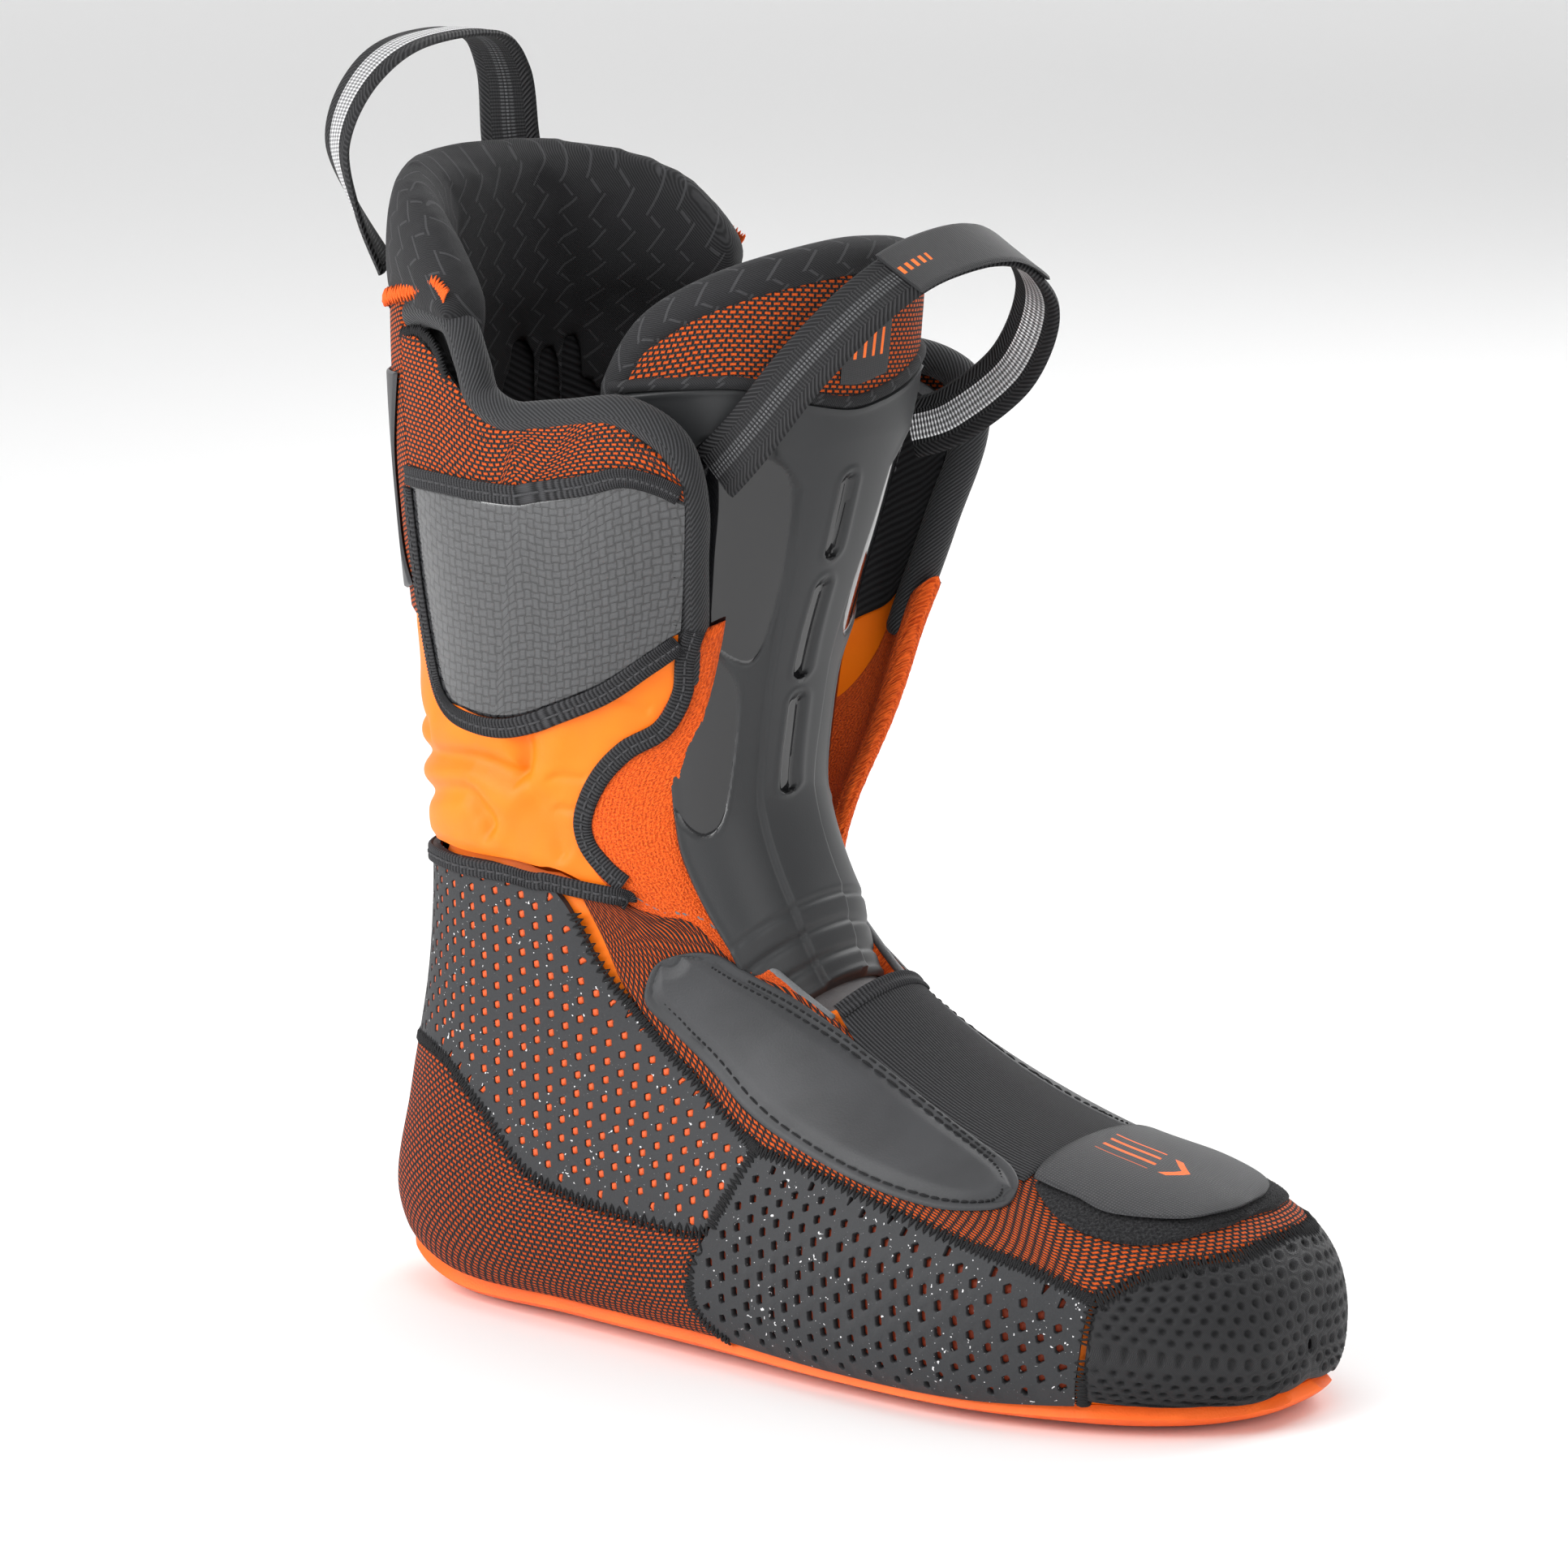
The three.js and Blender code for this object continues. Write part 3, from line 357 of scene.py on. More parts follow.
def piece(name, mesh, material, body=None, replaces=(), bend=None):
    """Links a mesh and ties it to the frame. bend is (body, body, start, end); its bodies and ends are not
    used, and a piece given a bend is left where it was built, on no body.
    """
    global triangles_made
    obj = bpy.data.objects.new(name, mesh)
    bpy.context.scene.collection.objects.link(obj)
    for each in material if isinstance(material, (list, tuple)) else [material]:
        mesh.materials.append(each)
    if bend:
        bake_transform(obj)
    else:
        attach(obj, body)
    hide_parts(*replaces)
    triangles_made += sum(len(face.vertices) - 2 for face in mesh.polygons)
    return obj


def soft_edge(distance, width):
    """0 at an edge and 1 from 'width' inwards, round like the edge of a pillow."""
    return np.sqrt(np.clip(1 - (1 - np.clip(distance / max(width, 1e-6), 0, 1)) ** 2, 0, 1))


def panel_mesh(first, second, cells, heights, surface=on_last, edge=1.0, relief=None, ends=0.0,
               span=(0, 1)):
    """A closed cloth panel between two pattern lines.
    relief(place, plane, inside) adds to the outer height; ends rounds the two ends."""
    columns, rows = cells
    mesh = block(columns, rows)
    u, v, w = read_points(mesh).T
    span_u = span[0] + (span[1] - span[0]) * u
    narrow = 1.0
    if ends:
        from_end = np.clip(np.minimum(u, 1 - u) / ends, 0.02, 1)
        narrow = np.sqrt(1 - (1 - from_end) ** 2)
    across = 0.5 + (v - 0.5) * narrow
    a, b = line_at(first, span_u), line_at(second, span_u)
    place = a + (b - a) * across[:, None]
    i = np.rint(u * columns).astype(int)
    j = np.rint(v * rows).astype(int)
    table = np.zeros((columns + 1, rows + 1, 3))
    table[i, j] = surface(place[:, 0], place[:, 1], 0)
    along = np.linalg.norm(np.diff(table, axis=0), axis=2)
    over = np.linalg.norm(np.diff(table, axis=1), axis=2)
    mm_u = np.concatenate([np.zeros((1, rows + 1)), np.cumsum(along, 0)])
    mm_v = np.concatenate([np.zeros((columns + 1, 1)), np.cumsum(over, 1)], 1)
    total_u, total_v = mm_u[-1:], mm_v[:, -1:]
    inside = np.minimum(np.minimum(mm_u, total_u - mm_u), np.minimum(mm_v, total_v - mm_v))
    centred = mm_u - total_u / 2
    steady = mm_v - total_v / 2
    plane = np.stack([centred, steady], -1)[i, j]
    low, high = heights
    middle, half = (low + high) / 2, (high - low) / 2 * soft_edge(inside[i, j], edge)
    height = middle + np.where(w > 0.5, half, -half)
    if relief is not None:
        height = height + np.where(w > 0.5, relief(place, plane, inside[i, j]), 0)
    write_points(mesh, to_frame(surface(place[:, 0], place[:, 1], height)))
    write_map(mesh, plane)
    close_mesh(mesh)
    return mesh


def path_frames(points, share, surface=on_last):
    """Position, outward direction and sideways direction along a path on a surface."""
    nudge = 0.004
    place = line_at(points, share)
    before = line_at(points, np.clip(share - nudge, 0, 1))
    after = line_at(points, np.clip(share + nudge, 0, 1))
    point = surface(place[:, 0], place[:, 1], 0)
    out = unit(surface(place[:, 0], place[:, 1], 1) - point)
    along = unit(surface(after[:, 0], after[:, 1], 0) - surface(before[:, 0], before[:, 1], 0))
    return point, out, unit(np.cross(out, along))


def path_length(points, surface=on_last, span=(0, 1)):
    share = np.linspace(span[0], span[1], 200)
    point = path_frames(points, share, surface)[0]
    return float(np.linalg.norm(np.diff(point, axis=0), axis=1).sum())


def tape_mesh(points, width, heights, surface=on_last, rib=1.05, depth=0.18, span=(0, 1)):
    """A ribbed woven tape, its ribs across it and a sunk line along its middle."""
    length = path_length(points, surface, span)
    columns = max(int(length / rib * 4), 8)
    mesh = block(columns, 10)
    u, v, w = read_points(mesh).T
    grid_share = span[0] + (span[1] - span[0]) * np.arange(columns + 1) / columns
    point, out, across = path_frames(points, grid_share, surface)
    i = np.rint(u * columns).astype(int)
    side = (v - 0.5) * width
    ribs = depth * np.cos(2 * math.pi * u * length / rib) * step(0.35, 0.8, np.abs(side))
    low, high = heights
    middle, half = (low + high) / 2, (high - low) / 2
    round_half = half * soft_edge(width / 2 - np.abs(side), 0.9)
    sunk = -0.25 * np.exp(-(side / 0.5) ** 2)
    height = middle + np.where(w > 0.5, round_half + ribs + sunk, -round_half)
    where = point[i] + across[i] * side[:, None] + out[i] * height[:, None]
    write_points(mesh, to_frame(where))
    write_map(mesh, np.stack([u * length, side], 1))
    close_mesh(mesh)
    return mesh


def tube(rings, closed_ends=True):
    """A tube through rings of points, an array of ring, corner and xyz in mm."""
    count, corners = rings.shape[0], rings.shape[1]
    bm = bmesh.new()
    bmesh.ops.create_grid(bm, x_segments=count - 1, y_segments=corners, size=0.5)
    mesh = bpy.data.meshes.new("tube")
    bm.to_mesh(mesh)
    bm.free()
    u, v, _ = read_points(mesh).T
    i = np.rint((u + 0.5) * (count - 1)).astype(int)
    j = np.rint((v + 0.5) * corners).astype(int)
    write_points(mesh, to_frame(rings[i, j % corners]))
    middle = rings.mean(1)
    along = np.concatenate([[0], np.cumsum(np.linalg.norm(np.diff(middle, axis=0), axis=1))])
    ring_size = np.linalg.norm(rings[count // 2] - rings[count // 2, [*range(1, corners), 0]], axis=1)
    girth = ring_size.sum()
    write_map(mesh, np.stack([along[i], j / corners * girth], 1))
    bm = bmesh.new()
    bm.from_mesh(mesh)
    bmesh.ops.remove_doubles(bm, verts=bm.verts[:], dist=0.000005)
    if closed_ends:
        open_edges = [edge for edge in bm.edges if edge.is_boundary]
        bmesh.ops.holes_fill(bm, edges=open_edges, sides=0)
    bmesh.ops.recalc_face_normals(bm, faces=bm.faces[:])
    bm.to_mesh(mesh)
    bm.free()
    mesh.shade_smooth()
    return mesh


def rod_mesh(points, radius, height, surface=on_last, corners=14, flatten=1.0, pitch=1.5,
             taper=0.02, wobble=None):
    """A round rod along a path; its radius may vary by wobble(share, turn)."""
    length = path_length(points, surface)
    count = max(int(length / pitch), 6)
    share = np.linspace(0, 1, count)
    point, out, across = path_frames(points, share, surface)
    turn = np.arange(corners) / corners * 2 * math.pi
    size = radius * soft_edge(np.minimum(share, 1 - share), taper)[:, None] + 0.02
    size = size * np.ones(corners)
    if wobble is not None:
        size = size + wobble(share[:, None] * length, turn[None, :])
    rings = (point[:, None] + out[:, None] * (height + flatten * size * np.cos(turn))[..., None]
             + across[:, None] * (size * np.sin(turn))[..., None])
    return tube(rings)


def zigzag(points, reach, pitch, thickness, height, surface=on_last, span=(0, 1), jitter=0.25, seed=1,
           corners=5):
    """An overlocked seam: one thread that crosses the seam to and fro."""
    random = np.random.default_rng(seed)
    length = path_length(points, surface, span)
    count = max(int(length / pitch), 4) * 2
    share = span[0] + (span[1] - span[0]) * np.linspace(0, 1, count * 3 + 1)
    share = np.clip(share + random.normal(0, jitter * pitch / 6 / length, share.size), 0, 1)
    point, out, across = path_frames(points, share, surface)
    wave = np.tile([-1, -0.4, 0.4, 1, 0.4, -0.4], count // 2 + 1)[:share.size]
    side = wave * reach + random.normal(0, jitter * 0.5, share.size)
    lift = height - 0.5 * (np.abs(wave) > 0.9) + random.normal(0, 0.06, share.size)
    middle = point + across * side[:, None] + out * lift[:, None]
    turn = np.arange(corners) / corners * 2 * math.pi
    along = unit(np.gradient(middle, axis=0))
    sideways = unit(np.cross(out, along))
    rings = (middle[:, None] + out[:, None] * (thickness * np.cos(turn))[None, :, None]
             + sideways[:, None] * (thickness * np.sin(turn))[None, :, None])
    return tube(rings)


def stitches(points, height, surface=on_last, length=2.6, thickness=0.28, span=(0, 1), offset=0.0):
    """A lockstitch: a thread that shows for most of each stitch and dives at its ends."""
    total = path_length(points, surface, span)
    count = max(int(total / length), 3)
    share = span[0] + (span[1] - span[0]) * np.linspace(0, 1, count * 5 + 1)
    phase = np.arange(count * 5 + 1) % 5
    point, out, across = path_frames(points, share, surface)
    lift = height + np.where(phase == 0, -0.7, np.where((phase == 1) | (phase == 4), 0.05, 0.22))
    middle = point + out * lift[:, None] + across * offset
    turn = np.arange(6) / 6 * 2 * math.pi
    rings = (middle[:, None] + out[:, None] * (thickness * np.cos(turn))[None, :, None]
             + across[:, None] * (1.2 * thickness * np.sin(turn))[None, :, None])
    return tube(rings)


# %% [markdown]
# ## Materials
# A finish is written as arithmetic. Wire wraps a socket so that plain expressions add Math nodes,
# and Finish.node adds any other node.

# %% Shader arithmetic
class Wire:
    """A socket of a finish that plain arithmetic can use."""

    def __init__(self, finish, socket):
        self.finish = finish
        self.socket = socket

    def math(self, operation, *others, clamp=False):
        sockets = dict(enumerate((self, *others)))
        settings = {"operation": operation, "use_clamp": clamp}
        return self.finish.node("ShaderNodeMath", settings, sockets)

    def __add__(self, other):
        return self.math("ADD", other)

    def __mul__(self, other):
        return self.math("MULTIPLY", other)

    def __sub__(self, other):
        return self.math("SUBTRACT", other)

    def __truediv__(self, other):
        return self.math("DIVIDE", other)

    __radd__ = __add__
    __rmul__ = __mul__

    def __rsub__(self, other):
        return self.finish.node("ShaderNodeMath", {"operation": "SUBTRACT"}, {0: other, 1: self})

    def between(self, low, high):
        """0 below low, 1 above high, smooth between."""
        settings = {"interpolation_type": "SMOOTHSTEP"}
        sockets = {"Value": self, "From Min": low, "From Max": high}
        return self.finish.node("ShaderNodeMapRange", settings, sockets)

    def wave(self, pitch):
        """A cosine ripple from 0 to 1, with a crest at each multiple of pitch."""
        return (self * (2 * math.pi / pitch)).math("COSINE") * 0.5 + 0.5

    def repeat(self, pitch):
        """Distance from the middle of the cell, from 0 to 0.5, in cells of pitch."""
        return ((self / pitch).math("FRACT") - 0.5).math("ABSOLUTE")


class Finish:
    """A Principled material and the nodes that feed it."""

    def __init__(self, name, **constants):
        self.material = bpy.data.materials.new(name)
        self.material.use_nodes = True
        self.tree = self.material.node_tree
        self.shader = self.tree.nodes["Principled BSDF"]
        self.set(**constants)

    def set(self, **values):
        for key, value in values.items():
            self.put(self.shader.inputs[key.replace("_", " ").title().replace("Ior", "IOR")], value)
        return self

    def put(self, socket, value):
        if isinstance(value, Wire):
            self.tree.links.new(value.socket, socket)
        elif value is not None:
            socket.default_value = value

    def node(self, kind, settings=None, sockets=None, output=0):
        made = self.tree.nodes.new(kind)
        for key, value in (settings or {}).items():
            setattr(made, key, value)
        for key, value in (sockets or {}).items():
            self.put(made.inputs[key], value)
        return Wire(self, made.outputs[output])

    def mix(self, mask, low, high):
        """A colour between two, by a mask."""
        return self.node("ShaderNodeMix", {"data_type": "RGBA"}, {0: mask, 6: low, 7: high}, 2)

    def cloth_map(self):
        """The flat millimetres of the piece: along and across."""
        flat = self.node("ShaderNodeUVMap", {"uv_map": "cloth"})
        both = [self.node("ShaderNodeSeparateXYZ", None, {0: flat}, i) for i in (0, 1)]
        return flat, both[0], both[1]

    def place(self):
        """The point in the frame, in metres."""
        return self.node("ShaderNodeTexCoord", output=3)

    def noise(self, vector, scale, detail=2, roughness=0.5):
        sockets = {"Vector": vector, "Scale": scale, "Detail": detail, "Roughness": roughness}
        return self.node("ShaderNodeTexNoise", None, sockets)

    def bump(self, height, distance, strength=1.0):
        sockets = {"Height": height, "Distance": distance * MM, "Strength": strength}
        self.set(normal=self.node("ShaderNodeBump", None, sockets))
        return self


def rgb(red, green, blue):
    return (red, green, blue, 1)


ORANGE_FOAM = rgb(1.0, 0.20, 0.0)
ORANGE_YARN = rgb(0.92, 0.13, 0.008)
BLACK_YARN = rgb(0.010, 0.010, 0.011)

# %% [markdown]
# ### Foam, terry and plastic
# Moulded foam is smooth with a faint grain. Terry is a field of small loops. The tongue's
# plastic is satin, with a fine spark-eroded grain.

# %% Foams and plastics
def foam_finish(name, colour, dark, grain=1.0):
    finish = Finish(name, roughness=0.5, specular_ior_level=0.35)
    where = finish.place()
    cloud = finish.noise(where, 60, 2)
    speck = finish.noise(where, 1600, 2)
    finish.set(base_color=finish.mix(cloud.between(0.3, 0.75), dark, colour),
               roughness=0.42 + cloud * 0.16 + speck * 0.08)
    return finish.bump(speck, 0.05 * grain).material


orange_foam = foam_finish("orange_foam", ORANGE_FOAM, rgb(0.97, 0.175, 0.0))
sole_foam = foam_finish("sole_foam", rgb(1.0, 0.16, 0.015), rgb(0.92, 0.13, 0.01), 3.0)
grey_foam = foam_finish("grey_foam", rgb(0.16, 0.165, 0.17), rgb(0.11, 0.112, 0.117), 4.0)


def terry_finish():
    finish = Finish("terry", roughness=0.95, specular_ior_level=0.1, sheen_weight=0.06)
    flat, _, across = finish.cloth_map()
    warp = finish.noise(flat, 0.8, 1) * 0.7
    rows = (across + warp).wave(1.25)
    loops = finish.noise(flat, 1.7, 2)
    height = rows * 0.12 + loops * 1.1
    finish.set(base_color=finish.mix(height.between(0.35, 0.85), rgb(0.50, 0.050, 0.006),
                                     rgb(1.0, 0.155, 0.022)))
    return finish.bump(height, 0.9).material


terry = terry_finish()


def tongue_finish():
    finish = Finish("moulded_plastic", specular_ior_level=0.4)
    where = finish.place()
    gloss_and_slot_shade = finish.node("ShaderNodeAttribute", {"attribute_name": "gloss_and_slot_shade"}, output=2)
    grain = finish.noise(where, 2600, 2)
    smear = finish.noise(where, 28, 3)
    # The windows are glossy black plastic; the slots are painted near black too, as painted shade in them.
    finish.set(base_color=finish.mix(gloss_and_slot_shade, finish.mix(smear, rgb(0.020, 0.021, 0.022),
                                                       rgb(0.028, 0.029, 0.031)),
                                     rgb(0.006, 0.006, 0.007)),
               roughness=(0.40 + smear * 0.12) * (1 - gloss_and_slot_shade) + gloss_and_slot_shade * 0.09,
               coat_weight=gloss_and_slot_shade * 0.6)
    return finish.bump(grain * (1 - gloss_and_slot_shade), 0.03).material


tongue_plastic = tongue_finish()


def plain_plastic(name, colour, roughness):
    finish = Finish(name, roughness=roughness)
    smear = finish.noise(finish.place(), 40, 3)
    finish.set(base_color=finish.mix(smear, colour, rgb(*(c * 1.35 for c in colour[:3]))),
               roughness=roughness - 0.06 + smear * 0.12)
    return finish.bump(finish.noise(finish.place(), 2400, 2), 0.03).material


spine_plastic = plain_plastic("spine_plastic", rgb(0.018, 0.018, 0.02), 0.45)

# %% [markdown]
# ### Cloth
# Knit shows short orange dashes in staggered rows over a black mesh. Twill has diagonal ribs.
# Both are drawn in the flat millimetres of each piece, so they follow the pattern.

# %% Woven and knitted finishes
def knit_finish(name, pitch, row, share=0.34, orange=ORANGE_YARN, fill=0.30):
    """Dashes pitch mm apart in rows row mm apart, each row moved by half a pitch."""
    finish = Finish(name, roughness=0.85, specular_ior_level=0.2)
    flat, along, across = finish.cloth_map()
    warp = finish.noise(flat, 0.35, 1)
    along = along + warp * 0.5
    across = across + along * 0.12 + warp * 0.35
    number = (across / row).math("FLOOR")
    odd = (number * 0.5).math("FRACT") * 2
    offset = (along + odd * (pitch * 0.5)).repeat(pitch)
    high = across.repeat(row)
    dash = (1 - offset.between(share - 0.07, share + 0.05)) * (1 - high.between(fill - 0.08, fill + 0.06))
    thread = finish.noise(flat, 3.6, 2)
    mesh_hole = (along + 0.0).wave(0.95) * across.wave(row)
    yarn = finish.mix(thread.between(0.3, 0.7), rgb(*(c * 0.55 for c in orange[:3])), orange)
    ground = finish.mix(mesh_hole, BLACK_YARN, rgb(0.035, 0.034, 0.035))
    finish.set(base_color=finish.mix(dash, ground, yarn), roughness=0.9 - dash * 0.25)
    return finish.bump(dash * 0.8 + mesh_hole * 0.35 + thread * 0.25, 0.35).material


knit = knit_finish("knit", 2.3, 1.3, 0.34, rgb(0.66, 0.095, 0.008))
fine_knit = knit_finish("fine_knit", 2.3, 1.35, 0.32, rgb(0.58, 0.075, 0.006), 0.27)


def twill_finish(name, colour, light, pitch=0.75, dashes=False, slope=1.0, depth=0.12, sheen=0.04):
    """Fine diagonal ribs, with a woven-in brick pattern of pale dashes if wanted."""
    finish = Finish(name, roughness=0.8, specular_ior_level=0.25, sheen_weight=sheen, sheen_roughness=0.4)
    flat, along, across = finish.cloth_map()
    ribs = (along * slope + across).wave(pitch)
    fuzz = finish.noise(flat, 2.5, 2)
    height = ribs * 0.7 + fuzz * 0.4
    colour_now = finish.mix(height.between(0.2, 1.0), colour, light)
    if dashes:
        one = (along + across) * 0.7071
        two = (along - across) * 0.7071
        row = (two / 6.5).math("FLOOR")
        odd = (row * 0.5).math("FRACT") * 2
        first = (1 - (two.repeat(6.5) * 6.5).between(0.25, 0.45)) * (
            1 - (one + odd * 6.5).repeat(13).between(0.29, 0.32))
        column = (one / 6.5).math("FLOOR")
        odd_column = (column * 0.5).math("FRACT") * 2
        second = (1 - (one.repeat(6.5) * 6.5).between(0.25, 0.45)) * (
            1 - (two + odd_column * 6.5).repeat(13).between(0.14, 0.17))
        lines = first.math("MAXIMUM", second)
        height = height - lines * 0.9
        colour_now = finish.mix(lines * 0.75, colour_now, rgb(0.055, 0.055, 0.058))
    finish.set(base_color=colour_now, roughness=0.72 + fuzz * 0.2)
    return finish.bump(height, depth).material


collar_twill = twill_finish("collar_twill", rgb(0.010, 0.010, 0.011), rgb(0.030, 0.030, 0.032), 0.7,
                            dashes=True)
lining_knit = twill_finish("lining_knit", rgb(0.006, 0.006, 0.007), rgb(0.022, 0.022, 0.024), 2.2,
                           slope=0.55, depth=0.4)
binding_knit = twill_finish("binding_knit", rgb(0.014, 0.014, 0.015), rgb(0.050, 0.051, 0.054), 1.1,
                            slope=0.7, depth=0.3, sheen=0.12)
thread_black = twill_finish("thread_black", rgb(0.006, 0.006, 0.007), rgb(0.022, 0.022, 0.023), 0.5,
                            depth=0.06)
thread_orange = twill_finish("thread_orange", rgb(0.75, 0.09, 0.01), rgb(0.95, 0.15, 0.02), 0.5,
                             depth=0.06)
thread_grey = twill_finish("thread_grey", rgb(0.03, 0.03, 0.032), rgb(0.085, 0.085, 0.09), 0.5,
                           depth=0.06)


def tape_finish():
    finish = Finish("edge_tape", roughness=0.75, specular_ior_level=0.25)
    flat, along, across = finish.cloth_map()
    ribs = along.wave(1.05)
    fine = across.wave(0.5)
    fuzz = finish.noise(flat, 3.0, 2)
    finish.set(base_color=finish.mix((ribs * 0.6 + fine * 0.2 + fuzz * 0.4).between(0.2, 1.0),
                                     rgb(0.006, 0.006, 0.007), rgb(0.045, 0.045, 0.048)))
    return finish.bump(ribs * 0.5 + fine * 0.3 + fuzz * 0.2, 0.15).material


edge_tape = tape_finish()


def webbing_finish():
    """Herringbone edges, a ribbed middle and silver threads along it."""
    finish = Finish("webbing", specular_ior_level=0.3)
    _, along, across = finish.cloth_map()
    side = across.math("ABSOLUTE")
    border = side.between(4.6, 5.0)
    chevron = (along + side * 1.0).wave(1.5)
    ribs = along.wave(1.0) * 0.8 + across.wave(0.7) * 0.2
    height = border * chevron + (1 - border) * ribs
    silver = (1 - (side - 1.3).math("ABSOLUTE").between(0.35, 0.75)) * 0.12 + (1 - side.between(
        0.2, 0.5)) * 0.2
    shine = silver * along.wave(1.0).between(0.1, 0.7)
    finish.set(base_color=finish.mix(shine, finish.mix(height, rgb(0.006, 0.006, 0.007),
                                                       rgb(0.035, 0.035, 0.037)),
                                     rgb(0.55, 0.56, 0.58)),
               roughness=0.7 - shine * 0.3)
    return finish.bump(height, 0.45).material


webbing = webbing_finish()


def reflective_finish():
    finish = Finish("reflective_stripe", metallic=0.3, roughness=0.35)
    _, along, across = finish.cloth_map()
    ribs = along.wave(1.0)
    lines = across.wave(1.6)
    finish.set(base_color=finish.mix((ribs * 0.5 + lines * 0.6).between(0.2, 1.0),
                                     rgb(0.16, 0.16, 0.165), rgb(0.80, 0.80, 0.81)))
    return finish.bump(ribs, 0.3).material


reflective = reflective_finish()


def elastic_finish():
    finish = Finish("elastic", roughness=0.8, specular_ior_level=0.2)
    flat, along, across = finish.cloth_map()
    ribs = across.wave(0.95)
    fine = along.wave(0.6)
    fuzz = finish.noise(flat, 2.0, 2)
    finish.set(base_color=finish.mix((ribs * 0.75 + fine * 0.2 + fuzz * 0.25).between(0.25, 1.0),
                                     rgb(0.008, 0.008, 0.009), rgb(0.050, 0.050, 0.053)))
    return finish.bump(ribs * 0.8 + fine * 0.2, 0.3).material


elastic = elastic_finish()


def leather_finish():
    finish = Finish("synthetic_leather", specular_ior_level=0.4)
    flat, _, _ = finish.cloth_map()
    grain = finish.noise(flat, 1.6, 3)
    broad = finish.noise(flat, 0.05, 2)
    finish.set(base_color=finish.mix(broad.between(0.3, 0.7), rgb(0.026, 0.027, 0.029),
                                     rgb(0.036, 0.037, 0.040)),
               roughness=0.46 + grain * 0.12)
    return finish.bump(grain, 0.06).material


leather = leather_finish()


def perforated_finish():
    finish = Finish("perforated_foam", roughness=0.62, specular_ior_level=0.25)
    where = finish.place()
    grain = finish.noise(where, 1500, 2)
    specks = finish.noise(where, 820, 1)
    rare = finish.noise(where, 95, 1)
    fleck = (specks - (1 - rare) * 0.20).between(0.63, 0.655)
    crumbs = finish.noise(where, 1900, 1).between(0.76, 0.80) * 0.5
    spot = fleck.math("MAXIMUM", crumbs)
    finish.set(base_color=finish.mix(spot, finish.mix(grain, rgb(0.026, 0.027, 0.029),
                                                      rgb(0.040, 0.041, 0.044)),
                                     rgb(0.62, 0.62, 0.63)),
               roughness=0.55 + grain * 0.15)
    return finish.bump(grain + spot * 0.6, 0.08).material


perforated = perforated_finish()


def dome_finish(name, colour, dark):
    finish = Finish(name, roughness=0.6)
    cloud = finish.noise(finish.place(), 900, 2)
    finish.set(base_color=finish.mix(cloud, dark, colour))
    return finish.bump(cloud, 0.12).material


dome_foam = dome_finish("dome_foam", rgb(0.80, 0.115, 0.012), rgb(0.52, 0.06, 0.008))
# A darker copy of the orange foam: painted shade at the bottoms of the deep forefoot holes.
hole_foam_painted_shade = dome_finish("hole_foam_painted_shade", rgb(0.42, 0.05, 0.008), rgb(0.22, 0.024, 0.004))


def honeycomb_finish():
    finish = Finish("honeycomb_mesh", roughness=0.5, specular_ior_level=0.35)
    _, along, across = finish.cloth_map()
    weave = (along + across).wave(0.55) * 0.5 + (along - across).wave(0.55) * 0.5
    # 'deep' marks the sunk pits; their near-black colour is painted shade.
    deep = finish.node("ShaderNodeAttribute", {"attribute_name": "deep"}, output=2)
    finish.set(base_color=finish.mix(deep, finish.mix(weave, rgb(0.006, 0.006, 0.007),
                                                      rgb(0.024, 0.024, 0.026)),
                                     rgb(0.004, 0.004, 0.005)))
    return finish.bump(weave, 0.12).material


honeycomb = honeycomb_finish()


def composite_finish():
    """A basket weave of flat tows under a clear coat."""
    finish = Finish("composite", coat_weight=1.0, coat_roughness=0.05, specular_ior_level=0.3)
    flat, along, across = finish.cloth_map()
    pitch = 2.6
    column = ((along / pitch).math("FLOOR") + (across / pitch).math("FLOOR")) * 0.5
    over = column.math("FRACT").between(0.24, 0.26)
    fibre_one = along.wave(0.5) * 0.25 + across.repeat(pitch).between(0.5, 0.15)
    fibre_two = across.wave(0.5) * 0.25 + along.repeat(pitch).between(0.5, 0.15)
    tow = over * fibre_one + (1 - over) * fibre_two
    smear = finish.noise(flat, 0.35, 3)
    value = tow * 0.55 + smear * 0.55
    finish.set(base_color=finish.mix(value.between(0.25, 1.1), rgb(0.003, 0.003, 0.004),
                                     rgb(0.050, 0.051, 0.054)),
               roughness=0.34 - over * 0.1)
    return finish.bump(tow, 0.10, 0.6).material


composite = composite_finish()


def pile_finish():
    finish = Finish("hook_and_loop", roughness=0.95, specular_ior_level=0.2, sheen_weight=0.08)
    flat, _, _ = finish.cloth_map()
    pile = finish.noise(flat, 1.3, 4, 0.7)
    finish.set(base_color=finish.mix(pile.between(0.35, 0.8), rgb(0.004, 0.004, 0.005),
                                     rgb(0.05, 0.05, 0.053)))
    return finish.bump(pile, 0.7).material


pile = pile_finish()


